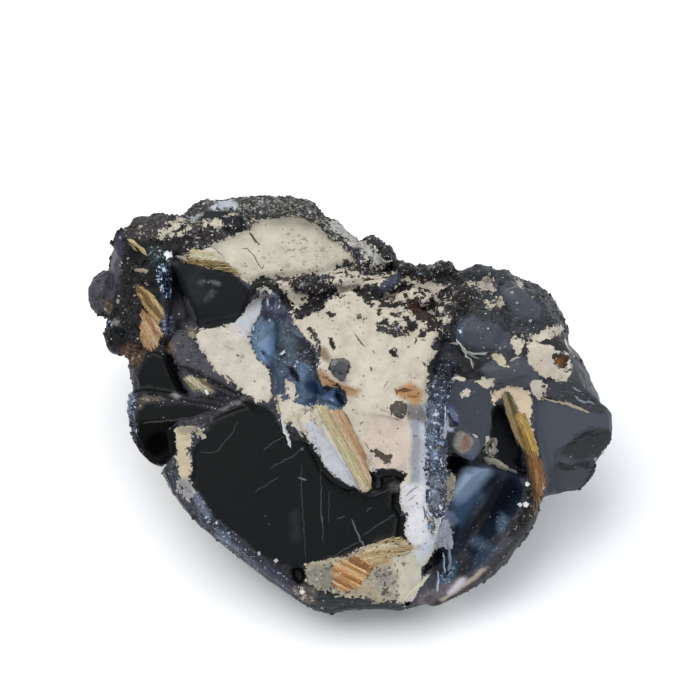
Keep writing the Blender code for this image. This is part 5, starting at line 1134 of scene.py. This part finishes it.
def shaped(points, faces, skin):
    """The surface moved in and out along its normals: crumbs, swellings and the clay's own wear."""
    clay = smooth_step(skin["clay"], -0.1, 0.2)
    stone = 1 - clay
    points = relaxed(points, faces, 0.5 * np.maximum(clay, smooth_step(skin["swell"], 0.02, 0.14)), 4)
    normals = point_normals(points, faces)
    near, number = grains(points, CRUMB_GRAIN, 3)
    crumbs = (0.55 - near) * (0.4 + number)
    lift = stone * skin["crumble"] * (crumbs + 0.9 * rough_noise(points, 0.9, 13))
    lift += stone * skin["swell"] * rough_noise(points, SWELL_SIZE, 19)
    lift += clay * sum(height * rough_noise(points, *wave) for height, *wave in CLAY_WAVES)
    pit, chance = grains(points, PIT_SPACING, 53)
    lift -= clay * PIT_DEPTH * smooth_step(0.2 - pit, 0, 0.14) * (chance > PIT_CHANCE)
    low = smooth_step(points[:, 2], *REST_FADE)
    return points + normals * (lift * low)[:, None] + skin["dome"][:, None] * OUTWARD


# ---------------------------------------------------------------- materials
class Shading:
    """A material's node tree, written as one would write a formula. Lengths in it are millimetres."""

    def __init__(self, name):
        self.material = bpy.data.materials.new(name)
        self.material.use_nodes = True
        self.tree = self.material.node_tree
        self.surface = self.tree.nodes["Principled BSDF"]
        self.place = self.node("ShaderNodeVectorMath", operation="SCALE")
        self.link(self.node("ShaderNodeTexCoord").outputs["Object"], self.place.inputs[0])
        self.place.inputs["Scale"].default_value = 1 / MM
        self.place = self.place.outputs[0]

    def node(self, kind, **settings):
        made = self.tree.nodes.new(kind)
        for key, value in settings.items():
            setattr(made, key, value)
        return made

    def link(self, source, socket):
        self.tree.links.new(source, socket)

    def feed(self, socket, value):
        if isinstance(value, bpy.types.NodeSocket):
            self.link(value, socket)
        else:
            socket.default_value = value

    def math(self, operation, a, b=0.0, clamp=False):
        made = self.node("ShaderNodeMath", operation=operation, use_clamp=clamp)
        self.feed(made.inputs[0], a)
        self.feed(made.inputs[1], b)
        return made.outputs[0]

    def ramp(self, value, low, high, to_low=0.0, to_high=1.0):
        made = self.node("ShaderNodeMapRange", interpolation_type="SMOOTHSTEP")
        for name, number in (("Value", value), ("From Min", low), ("From Max", high), ("To Min", to_low),
                             ("To Max", to_high)):
            self.feed(made.inputs[name], number)
        return made.outputs[0]

    def field(self, name, output="Fac"):
        return self.node("ShaderNodeAttribute", attribute_name=name).outputs[output]

    def noise(self, size, detail=3.0, roughness=0.6, stretch=None):
        made = self.node("ShaderNodeTexNoise")
        made.inputs["Scale"].default_value = 1 / size
        made.inputs["Detail"].default_value = detail
        made.inputs["Roughness"].default_value = roughness
        self.link(self.stretched(stretch) if stretch else self.place, made.inputs["Vector"])
        return made.outputs["Fac"]

    def stretched(self, stretch):
        made = self.node("ShaderNodeVectorMath", operation="MULTIPLY")
        self.link(self.place, made.inputs[0])
        made.inputs[1].default_value = stretch
        return made.outputs[0]

    def grains(self, size):
        made = self.node("ShaderNodeTexVoronoi")
        made.inputs["Scale"].default_value = 1 / size
        self.link(self.place, made.inputs["Vector"])
        return made

    def mix(self, share, a, b):
        made = self.node("ShaderNodeMix", data_type="RGBA")
        self.feed(made.inputs[0], share)
        self.feed(made.inputs[6], a if isinstance(a, bpy.types.NodeSocket) else (*linear(a), 1))
        self.feed(made.inputs[7], b if isinstance(b, bpy.types.NodeSocket) else (*linear(b), 1))
        return made.outputs[2]

    def brighter(self, colour, factor):
        made = self.node("ShaderNodeVectorMath", operation="SCALE")
        self.link(colour, made.inputs[0])
        self.feed(made.inputs["Scale"], factor)
        return made.outputs[0]

    def bump(self, height, strength, distance):
        made = self.node("ShaderNodeBump")
        made.inputs["Strength"].default_value = strength
        made.inputs["Distance"].default_value = distance * MM
        self.link(height, made.inputs["Height"])
        self.link(made.outputs[0], self.surface.inputs["Normal"])


def split_colour(shading, colour):
    """Three separate numbers of a colour."""
    made = shading.node("ShaderNodeSeparateColor")
    shading.link(colour, made.inputs[0])
    return made.outputs


def stone_colour(s):
    """Hematite: its own tone, mottled where it is crumbly, with dull flecks, and tiny flake crystals tinted
    silvery as painted glints.
    """
    unrest = s.ramp(s.field("crumble"), 0.0, 0.3, 0.16, 1.05)
    mottle = s.math("MULTIPLY", s.math("SUBTRACT", s.noise(0.42, 5.0, 0.65), 0.5), 2.6)
    clouds = s.math("SUBTRACT", s.noise(1.5, 3.0, 0.6), 0.5)
    factor = s.math("ADD", s.math("MULTIPLY", s.math("ADD", mottle, clouds), unrest), 1.0)
    tone = s.brighter(s.field("stone", "Color"), s.math("MAXIMUM", factor, 0.15))
    pits = s.math("MULTIPLY", s.ramp(s.noise(0.28, 3.0), 0.52, 0.36), s.field("crumble"))
    tone = s.mix(s.math("MULTIPLY", pits, 3.0, clamp=True), tone, PIT_DARK)
    level = s.math("SUBTRACT", 0.72, s.math("MULTIPLY", s.field("flecks"), 0.25))
    fleck = s.math("SUBTRACT", s.noise(0.5, 5.0, 0.75, (1, 1.4, 1)), level)
    dull = s.mix(s.ramp(s.noise(0.3, 2.0), 0.35, 0.65), FLECK_DARK, FLECK_BRIGHT)
    flecked = s.math("MULTIPLY", s.ramp(fleck, 0.0, 0.05), s.ramp(s.field("flecks"), 0.0, 0.1))
    tone = s.mix(flecked, tone, dull)
    sparkle = s.math("MULTIPLY", s.field("sparkle"), s.ramp(s.noise(0.8, 3.0), 0.35, 0.7, 0.1, 1.0))
    # painted glints: cells tinted dim to bright silvery blue where the crust sparkles
    for size, reach, share in ((0.13, 0.6, 0.4), (0.26, 0.5, 0.22)):
        glinting_flakes = s.grains(size)
        chance, shade, _ = split_colour(s, glinting_flakes.outputs["Color"])
        is_glinting_flake = s.math("LESS_THAN", chance, s.math("MULTIPLY", sparkle, share))
        body = s.math("MULTIPLY", s.ramp(glinting_flakes.outputs["Distance"], reach, reach - 0.25), is_glinting_flake)
        flake_glint = s.mix(s.math("POWER", shade, 2.0), FLAKE_GLINT_DARK, FLAKE_GLINT_BRIGHT)
        tone = s.mix(body, tone, flake_glint)
    return tone


def clay_colour(s):
    """Clay: cream, clouded and smudged, with fine grain, dark specks and thin cracks."""
    cloud = s.ramp(s.noise(1.6, 5.0, 0.62), 0.25, 0.75, 0.84, 1.08)
    grain = s.ramp(s.noise(0.1, 3.0), 0.2, 0.8, 0.9, 1.06)
    tone = s.brighter(s.field("earth", "Color"), s.math("MULTIPLY", cloud, grain))
    tone = s.mix(s.ramp(s.noise(2.3, 5.0, 0.7), 0.52, 0.75, 0.0, 0.5), tone, CLAY_SMUDGE)
    tone = s.mix(s.ramp(s.noise(0.9, 4.0, 0.75, (1, 1.7, 1)), 0.58, 0.7, 0.0, 0.4), tone, CLAY_WARM)
    for size, share, reach in ((0.34, 0.10, 0.3), (0.95, 0.2, 0.17)):
        specks = s.grains(size)
        chance, shade, _ = split_colour(s, specks.outputs["Color"])
        ragged = s.math("ADD", specks.outputs["Distance"], s.ramp(s.noise(0.12, 2.0), 0.0, 1.0, -0.1, 0.1))
        spot = s.math("MULTIPLY", s.math("LESS_THAN", chance, share), s.ramp(ragged, reach, reach - 0.09))
        tone = s.mix(s.math("MULTIPLY", spot, s.ramp(shade, 0.0, 1.0, 0.2, 0.9)), tone, SPECK_DARK)
    return tone


def mineral_surface(name, gloss):
    """Hematite and clay in one finish, parted by the clay field, so that it crosses from piece to piece."""
    s = Shading(name)
    chance, _, _ = split_colour(s, s.grains(0.3).outputs["Color"])
    torn = s.ramp(s.noise(0.5, 4.0, 0.65), 0.0, 1.0, -1.0, 1.0)
    ragged = s.math("ADD", torn, s.ramp(chance, 0.0, 1.0, -0.3, 0.3))
    reach = s.ramp(s.field("crumble"), 0.0, 0.3, 0.24, 0.62)
    is_clay = s.ramp(s.math("ADD", s.math("MULTIPLY", ragged, reach), s.field("clay")), -0.05, 0.05)
    s.link(s.mix(is_clay, stone_colour(s), clay_colour(s)), s.surface.inputs["Base Color"])
    wear = s.math("MULTIPLY", s.math("SUBTRACT", s.noise(0.7, 3.0), 0.5), 0.25)
    stone_rough = s.math("ADD", s.field("rough"), wear)
    rough = s.node("ShaderNodeMix", data_type="FLOAT")
    s.link(is_clay, rough.inputs[0])
    s.link(stone_rough, rough.inputs[2])
    rough.inputs[3].default_value = CLAY_ROUGHNESS
    s.link(rough.outputs[0], s.surface.inputs["Roughness"])
    s.surface.inputs["Specular IOR Level"].default_value = gloss
    relief = s.math("MULTIPLY", s.noise(0.22, 4.0, 0.6), s.math("ADD", s.field("crumble"), 0.012))
    clay_relief = s.math("MULTIPLY", s.math("MULTIPLY", s.noise(0.18, 4.0, 0.7), 0.1), is_clay)
    s.bump(s.math("ADD", relief, clay_relief), 0.9, 0.5)
    return s.material


def needle_surface(name, roughness, gloss):
    """Rutile, small crystals and marks: a tint for each piece, streaked a little."""
    s = Shading(name)
    streak = s.ramp(s.noise(0.16, 4.0, 0.7), 0.25, 0.75, 0.75, 1.2)
    s.link(s.brighter(s.field("tint", "Color"), streak), s.surface.inputs["Base Color"])
    s.surface.inputs["Roughness"].default_value = roughness
    s.surface.inputs["Specular IOR Level"].default_value = gloss
    s.bump(s.noise(0.1, 3.0), 0.5, 0.05)
    return s.material


# ---------------------------------------------------------------- host and clay
def widened(points, faces, amount):
    """An inlay grown to the sides over the clearance round it, and hardly at all towards the camera."""
    grown = point_normals(points, faces) * amount
    outward = (grown @ OUTWARD).clip(0, None) * (1 - OUTWARD_GROWTH)
    return points + grown - outward[:, None] * OUTWARD


def inlay(node, amount):
    """An inlay's solid, widened."""
    points, faces = triangles_of(node)
    return widened(points, faces, amount), faces


def together(meshes):
    """Several lists of points and faces as one."""
    starts = np.cumsum([0] + [len(mesh[0]) for mesh in meshes])
    faces = [mesh[1] + start for mesh, start in zip(meshes, starts)]
    return np.concatenate([mesh[0] for mesh in meshes]), np.concatenate(faces)


def shown_where(points, inside):
    """An inlay's points, just above the host where it shows and sunk in the host elsewhere."""
    return points + (INLAY_RISE - (INLAY_RISE + INLAY_SINK) * (1 - inside))[:, None] * OUTWARD


def mineral_piece(name, node, material):
    """The host, with its pockets closed by the inlays, or one of the clay inlays."""
    if node in CLAY_NODES:
        points, faces = remeshed(*inlay(node, CLAY_GROWTH), VOXEL)
    else:
        solids = [triangles_of(node)] + [inlay(other, CLAY_GROWTH) for other in CLAY_NODES]
        solids += [inlay(other, RUTILE_GROWTH) for other in RUTILE_NODES]
        points, faces = remeshed(*together(solids), HOST_VOXEL, BEHIND_SHARE)
    skin = coat(points, point_normals(points, faces))
    points = shaped(points, faces, skin)
    if node in CLAY_NODES:
        points = shown_where(points, smooth_step(skin["clay"], -0.5, 0.0))
    made = build_mesh(name, points, faces, [(label, skin[label]) for label in FIELDS])
    made.data.materials.append(material)
    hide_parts(node)
    return points, faces, skin


# ---------------------------------------------------------------- crumbs on the crust
CUBE_CORNERS = np.array(list(np.ndindex(2, 2, 2)), float) * 2 - 1
CUBE_FACES = np.array(((0, 1, 3), (0, 3, 2), (4, 6, 7), (4, 7, 5), (0, 4, 5), (0, 5, 1), (2, 3, 7), (2, 7, 6),
                       (0, 2, 6), (0, 6, 4), (1, 5, 7), (1, 7, 3)))


def turned(draw, tilt):
    """A random rotation whose third axis leans from upright by up to tilt."""
    lean = Matrix.Rotation(draw.uniform(0, tilt), 3, Vector((draw.normal(), draw.normal(), 0)).normalized())
    return np.array(lean @ Matrix.Rotation(draw.uniform(0, 2 * math.pi), 3, "Z"))


def frame_on(normal):
    """A square frame whose third axis is the normal."""
    side = np.cross(normal, (0.31, 0.2, 0.93))
    side /= np.linalg.norm(side)
    return np.stack((side, np.cross(normal, side), normal), axis=1)


def crumbs_on(points, faces, skin, count, draw):
    """Broken crystals sunk into the crust, more of them where it is crumbly."""
    corners = points[faces]
    across = np.cross(corners[:, 1] - corners[:, 0], corners[:, 2] - corners[:, 0])
    area = np.linalg.norm(across, axis=1)
    crumbly = (skin["crumble"] - LEAST_CRUMBLE).clip(0) * (0.25 + 0.75 * skin["front"])
    weight = area * crumbly[faces].mean(axis=1)
    chosen = draw.choice(len(faces), count, p=weight / weight.sum())
    all_points, all_faces, fields = [], [], {label: [] for label in FIELDS}
    for index, face in enumerate(chosen):
        normal = across[face] / area[face]
        size = CRUMB_SIZE * min(draw.lognormal(0, 0.42), BIGGEST_CRUMB)
        shape = CUBE_CORNERS * (1, draw.uniform(0.55, 1), draw.uniform(0.3, 0.8)) * size
        shape = shape * draw.uniform(0.5, 1.1, shape.shape)
        place = corners[face].mean(axis=0) + normal * size * draw.uniform(-0.3, 0.2)
        all_points.append(shape @ (frame_on(normal) @ turned(draw, CRUMB_LEAN)).T + place)
        all_faces.append(CUBE_FACES + index * 8)
        corner = faces[face, 0]
        stone = skin["stone"][corner] * draw.lognormal(0, 0.4)
        kind = draw.random()
        # a crumb tinted silvery blue is a painted glint
        if kind < GLINT_CRUMBS * skin["sparkle"][corner]:
            stone = linear(CRUMB_GLINT) * draw.uniform(0.15, 1.0)
        elif kind > 1 - CREAM_CRUMBS * skin["flecks"][corner]:
            stone = linear(CRUMB_CREAM) * draw.uniform(0.3, 1.0)
        clay = CLAY_CRUMB if skin["clay"][corner] > CLAY_CRUMB_FROM else STONE_CRUMB
        for label, value in (("stone", stone), ("earth", skin["earth"][corner] * draw.uniform(0.8, 1.05)),
                             ("clay", clay), ("sparkle", 0.0), ("flecks", 0.0),
                             ("rough", draw.uniform(0.3, 0.55)), ("crumble", 0.03)):
            fields[label].append(value)
    fields = [(label, np.repeat(np.array(values), 8, axis=0)) for label, values in fields.items()]
    return np.concatenate(all_points), np.concatenate(all_faces), fields


# ---------------------------------------------------------------- things that lie on the surface
class Ground:
    """The modelled surface, to lay things on from the camera's side."""

    def __init__(self, meshes):
        points, faces = together(meshes)
        self.tree = BVHTree.FromPolygons(points.tolist(), faces.tolist())
        self.eye = Vector(from_plane((0, EYE_V, EYE_DISTANCE))[0])

    def under(self, place):
        """The point that shows at a place of the plane, or None."""
        target = Vector(from_plane((place[0], place[1], 0))[0])
        found, _, _, _ = self.tree.ray_cast(self.eye, (target - self.eye).normalized())
        return np.array(found) if found else None


def ringed(rings, start, end):
    """Faces that close a tube: rings of equal length between a start point and an end point, as indices."""
    faces = []
    size = len(rings[0])
    for i in range(size):
        j = (i + 1) % size
        faces.append((start, rings[0][j], rings[0][i]))
        faces.append((end, rings[-1][i], rings[-1][j]))
        for near, far in zip(rings, rings[1:]):
            faces.append((near[i], near[j], far[j]))
            faces.append((near[i], far[j], far[i]))
    return np.array(faces)


def tube(line, across, upward):
    """A pointed bar along a line of points, with its half width and half height at each inner point."""
    points = [line[0], line[-1]]
    rings = []
    for index in range(1, len(line) - 1):
        along = line[index + 1] - line[index - 1]
        side = np.cross(along, OUTWARD)
        side /= np.linalg.norm(side)
        crown = np.cross(side, along)
        crown /= np.linalg.norm(crown)
        rings.append(range(len(points), len(points) + BAR_SIDES))
        for turn in np.arange(BAR_SIDES) * 2 * math.pi / BAR_SIDES:
            points.append(line[index] + upward[index] * math.cos(turn) * crown
                          + across[index] * math.sin(turn) * side)
    return np.array(points), ringed(rings, 0, 1)


def needle(start, end, thick):
    """A pointed prism from start to end."""
    tip = min(0.3, 2.2 * thick / np.linalg.norm(end - start))
    line = [start, start + (end - start) * tip, end + (start - end) * tip, end]
    return tube(line, [0.8 * thick] * 4, [thick] * 4)


def tinted(mesh, colour, draw, spread):
    """A mesh with one tint, near the given colour."""
    points, faces = mesh
    tint = linear(colour) * draw.uniform(1 - spread, 1 + spread)
    return points, faces, np.repeat([tint], len(points), axis=0)


def unbroken(line):
    """The first stretch of a line of points without a jump in depth."""
    for index in range(1, len(line)):
        if abs((line[index] - line[index - 1]) @ OUTWARD) > MOST_SLOPE:
            return line[:index]
    return line


def strand(stroke, ground, draw):
    """A thin ridge along a path on the surface, pointed at both ends and of uneven width."""
    corners = np.array(stroke.path, float)
    steps = np.linalg.norm(np.diff(corners, axis=0), axis=1)
    reach = np.concatenate(([0], np.cumsum(steps)))
    count = max(4, int(reach[-1] / STRAND_STEP))
    along = np.linspace(0, reach[-1], count)
    places = np.stack([np.interp(along, reach, corners[:, axis]) for axis in range(2)], axis=1)
    places[1:-1] += draw.normal(0, STRAND_STRAY, (count - 2, 2))
    line = [ground.under(place) for place in places]
    line = unbroken([point + OUTWARD * stroke.rise * STRAND_LIFT for point in line if point is not None])
    if len(line) < 4:
        return []
    taper = np.sin(np.linspace(*TAPER, len(line)) * math.pi) ** 0.5
    across = taper * stroke.width / 2 * draw.uniform(0.65, 1.2, len(line))
    bar = tube(line, across, np.full(len(line), stroke.rise))
    return [tinted(bar, stroke.colour, draw, STRAND_TINTS)]


def chip(stroke, ground, draw):
    """A low crystal on an outline: its foot sunk in the ground, its flat top smaller than its foot."""
    corners = np.array(stroke.path, float)
    around = np.roll(corners, -1, axis=0)
    if (corners[:, 0] * around[:, 1] - around[:, 0] * corners[:, 1]).sum() < 0:
        corners = corners[::-1]
    foot = [ground.under(corner) for corner in corners]
    foot = np.array([point for point in foot if point is not None]).reshape(-1, 3)
    depth = foot @ OUTWARD
    steepest = min(MOST_SLOPE, 1.2 * np.ptp(corners, axis=0).max())
    foot = foot[abs(depth - np.median(depth)) < steepest] if len(foot) else foot
    if len(foot) < 3:
        return []
    middle = foot.mean(axis=0)
    level = (foot - middle) @ OUTWARD
    shoulder = middle + SHOULDER * (foot - middle) + 0.35 * stroke.rise * OUTWARD
    flat = foot - CHIP_LEVEL * level[:, None] * OUTWARD
    lean = draw.normal(0, CHIP_LEAN, 3) * stroke.rise
    top = middle + (1 - stroke.width) * (flat - middle) + stroke.rise * OUTWARD + lean
    tilt = (foot - middle) @ draw.normal(0, CHIP_TILT, 3)
    top += tilt[:, None] * OUTWARD
    size = len(foot)
    ends = [middle - OUTWARD * CHIP_ROOT, top.mean(axis=0)]
    points = np.concatenate((ends, foot - OUTWARD * FOOT_DEPTH, shoulder, top))
    rings = [range(2 + size * i, 2 + size * (i + 1)) for i in range(3)]
    faces = ringed(rings, 0, 1)
    tints = np.repeat([linear(stroke.colour)], len(points), axis=0)
    tints[2:2 + 2 * size] *= CHIP_SHADOW
    tints *= draw.uniform(*CHIP_SHADES, (len(points), 1))
    return [(points, faces, tints)]


def details(name, strokes, maker, ground, material, draw):
    """One piece made of many strands or chips."""
    meshes = []
    for stroke in strokes:
        meshes += maker(stroke, ground, draw)
    made = joined(name, meshes)
    made.data.materials.append(material)


def scattered(region, count, size, colours, draw):
    """Small chips strewn over a region."""
    corners = np.array(region)
    strokes = []
    while len(strokes) < count:
        place = draw.uniform(corners.min(axis=0), corners.max(axis=0))
        if region_distance(place[None], region)[0] < 0:
            continue
        turns = np.sort(draw.uniform(0, 2 * math.pi, draw.integers(4, 7)))
        reach = size * min(draw.lognormal(-0.1, 0.5), BIGGEST_CHIP) * draw.uniform(0.6, 1.3, len(turns))
        path = place + np.stack((np.cos(turns), np.sin(turns)), axis=1) * reach[:, None]
        strokes.append(Stroke(path, 0.4, size * 0.5, colours[draw.integers(len(colours))]))
    return strokes


def spray_needles(spray, ground, draw):
    """The needles of one spray, laid on the surface inside its outline."""
    corners = np.array(spray.outline)
    tries = spray.count * TRIES
    places = draw.uniform(corners.min(axis=0), corners.max(axis=0), (tries, 2))
    turns = np.radians(draw.normal(0, spray.spread, tries) + spray.angle)
    if spray.root:
        away = places - spray.root
        turns += np.arctan2(away[:, 1], away[:, 0]) - math.radians(spray.angle)
    heading = np.stack((np.cos(turns), np.sin(turns)), axis=1)
    reach = heading * draw.uniform(*spray.length, (tries, 1)) / 2
    starts, ends = places - reach, places + reach
    fits = region_distance(places, spray.outline) > 0.0
    for tips in (starts, ends):
        fits &= region_distance(tips, spray.outline) > -NEEDLE_OVERHANG
    meshes = []
    for index in np.flatnonzero(fits)[:spray.count]:
        hits = [ground.under(tip[index]) for tip in (starts, ends)]
        if any(hit is None for hit in hits) or abs((hits[0] - hits[1]) @ OUTWARD) > MOST_SLOPE:
            continue
        thick = spray.thick * draw.lognormal(0, 0.3)
        lift = OUTWARD * draw.uniform(*NEEDLE_LIFT) * thick
        colour = spray.colours[striped(spray, places[index], draw)]
        meshes.append(tinted(needle(hits[0] + lift, hits[1] + lift, thick), colour, draw, NEEDLE_TINTS))
    return meshes


def across_spray(spray, places):
    """How far places are across the spray's needles."""
    turn = math.radians(spray.angle)
    return places @ np.array((-math.sin(turn), math.cos(turn)))


def striped(spray, place, draw):
    """Which of the spray's colours a needle has: they run in stripes along it, and stray a little."""
    band = noise(np.array([[across_spray(spray, place) / spray.stripe, 0, 0]]), 1.0, STRIPE_SEED)[0]
    share = 0.5 + STRIPE_CONTRAST * band + draw.normal(0, 0.12)
    return int(np.clip(share * len(spray.colours), 0, len(spray.colours) - 1))


def rutile_base(node):
    """The bundle's own body under its needles, in the colours of the needles near it."""
    sprays = [spray for spray in SPRAYS if spray.node == node]
    points, faces = remeshed(*inlay(node, RUTILE_GROWTH), VOXEL)
    places = seen(points)
    tint = np.repeat([linear(sprays[0].colours[0])], len(points), axis=0)
    lift, inside = np.zeros(len(points)), np.full(len(points), -FAR)
    for spray in sprays:
        across = across_spray(spray, places)
        along = across_spray(spray._replace(angle=spray.angle - 90), places)
        fibres = noise(np.stack((across / FIBRE_WIDTH, along / FIBRE_LENGTH, 0 * along), axis=1), 1.0, 61)
        bands = noise(np.stack((across / spray.stripe, 0 * along, 0 * along), axis=1), 1.0, STRIPE_SEED)
        depth = region_distance(places, spray.outline)
        share = smooth_step(depth, -0.3, 0.1)
        colours = linear(spray.colours)
        index = ((0.5 + STRIPE_CONTRAST * bands) * len(colours)).clip(0, len(colours) - 1).astype(int)
        tint += share[:, None] * (colours[index] * (0.85 + 0.3 * fibres[:, None]) - tint)
        lift += share * FIBRE_LIFT * fibres
        inside = np.maximum(inside, depth)
    points = shown_where(points, smooth_step(inside, -0.35, 0.05))
    return points + lift[:, None] * OUTWARD, faces, tint


def rutile_piece(node, base, ground, material, draw):
    """One bundle: its base and the needles of its sprays, as one piece."""
    meshes = [base]
    for spray in SPRAYS:
        if spray.node == node:
            meshes += spray_needles(spray, ground, draw)
    made = joined(node + "_needles", meshes)
    made.data.materials.append(material)
    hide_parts(node)


def joined(name, meshes):
    """One object from several tinted meshes."""
    points, faces = together(meshes)
    return build_mesh(name, points, faces, [("tint", np.concatenate([mesh[2] for mesh in meshes]))])


# ---------------------------------------------------------------- camera, light and floor
def make_camera():
    """Straight in front of the drawing plane, at the distance that shapes its view."""
    data = bpy.data.cameras.new("camera")
    data.lens = data.sensor_width * EYE_DISTANCE / FRAME_WIDTH
    data.clip_start, data.clip_end = 0.01, 10
    camera = bpy.data.objects.new("camera", data)
    bpy.context.scene.collection.objects.link(camera)
    up = Vector((0, SIN, COS))
    back = Vector(OUTWARD)
    placed = Matrix((up.cross(back), up, back)).transposed().to_4x4()
    placed.translation = Vector(from_plane((0, EYE_V, EYE_DISTANCE))[0]) * MM
    camera.matrix_world = placed
    bpy.context.scene.camera = camera


def soft_light(name, place, size, power, colour):
    """A square area light turned to the specimen."""
    data = bpy.data.lights.new(name, "AREA")
    data.shape = "SQUARE"
    data.size = size
    data.energy = power
    data.color = colour
    light = bpy.data.objects.new(name, data)
    bpy.context.scene.collection.objects.link(light)
    light.location = place
    light.rotation_euler = (Vector(LIT_PLACE) - Vector(place)).to_track_quat("-Z", "Y").to_euler()


def make_studio():
    """Three soft lights and a pale sky."""
    for row in LIGHTS:
        soft_light(*row)
    world = bpy.data.worlds.new("studio")
    bpy.context.scene.world = world
    world.use_nodes = True
    world.node_tree.nodes["Background"].inputs["Color"].default_value = SKY_COLOUR
    world.node_tree.nodes["Background"].inputs["Strength"].default_value = SKY_STRENGTH
    bpy.context.scene.view_settings.view_transform = "Standard"


def make_floor():
    """The white ground that the specimen rests on."""
    mesh = bpy.data.meshes.new("floor")
    reach = FLOOR_REACH
    mesh.from_pydata([(-reach, -reach, 0), (reach, -reach, 0), (reach, reach, 0), (-reach, reach, 0)], [],
                     [(0, 1, 2, 3)])
    floor = bpy.data.objects.new("floor", mesh)
    bpy.context.scene.collection.objects.link(floor)
    floor.location.z = -FLOOR_DROP
    material = bpy.data.materials.new("floor")
    material.use_nodes = True
    surface = material.node_tree.nodes["Principled BSDF"]
    surface.inputs["Base Color"].default_value = FLOOR_COLOUR
    surface.inputs["Roughness"].default_value = FLOOR_ROUGHNESS
    mesh.materials.append(material)


# ---------------------------------------------------------------- assembly
def main():
    draw = np.random.default_rng(SEED)
    stone = mineral_surface("hematite", STONE_GLOSS)
    clay = mineral_surface("clay", CLAY_GLOSS)
    rutile = needle_surface("rutile", RUTILE_ROUGHNESS, RUTILE_GLOSS)
    crystal = needle_surface("crystal", CRYSTAL_ROUGHNESS, CRYSTAL_GLOSS)
    earth = needle_surface("clay_marks", MARK_ROUGHNESS, MARK_GLOSS)
    points, faces, skin = mineral_piece("hematite_host", "hematite", stone)
    grounds = [(points, faces)]
    for node in CLAY_NODES:
        grounds.append(mineral_piece(node + "_fill", node, clay)[:2])
    crumb_points, crumb_faces, fields = crumbs_on(points, faces, skin, CRUMB_COUNT, draw)
    crumbs = build_mesh("crust_crumbs", crumb_points, crumb_faces, fields)
    crumbs.data.materials.append(stone)
    bases = {node: rutile_base(node) for node in RUTILE_NODES}
    ground = Ground(grounds + [base[:2] for base in bases.values()])
    for node, base in bases.items():
        rutile_piece(node, base, ground, rutile, draw)
    strewn = [stroke for row in STREWN for stroke in scattered(*row, draw)]
    grit = [stroke for row in CLAY_STREWN for stroke in scattered(*row, draw)]
    details("crystals", CRYSTALS + SPARKLES, chip, ground, crystal, draw)
    details("strewn_crystals", strewn, chip, ground, crystal, draw)
    details("scratches", SCRATCHES, strand, ground, crystal, draw)
    details("clay_grit", grit, chip, ground, earth, draw)
    details("clay_cracks", CRACKS, strand, ground, earth, draw)
    details("clay_veins", VEINS, strand, ground, earth, draw)
    make_camera()
    make_studio()
    make_floor()


main()
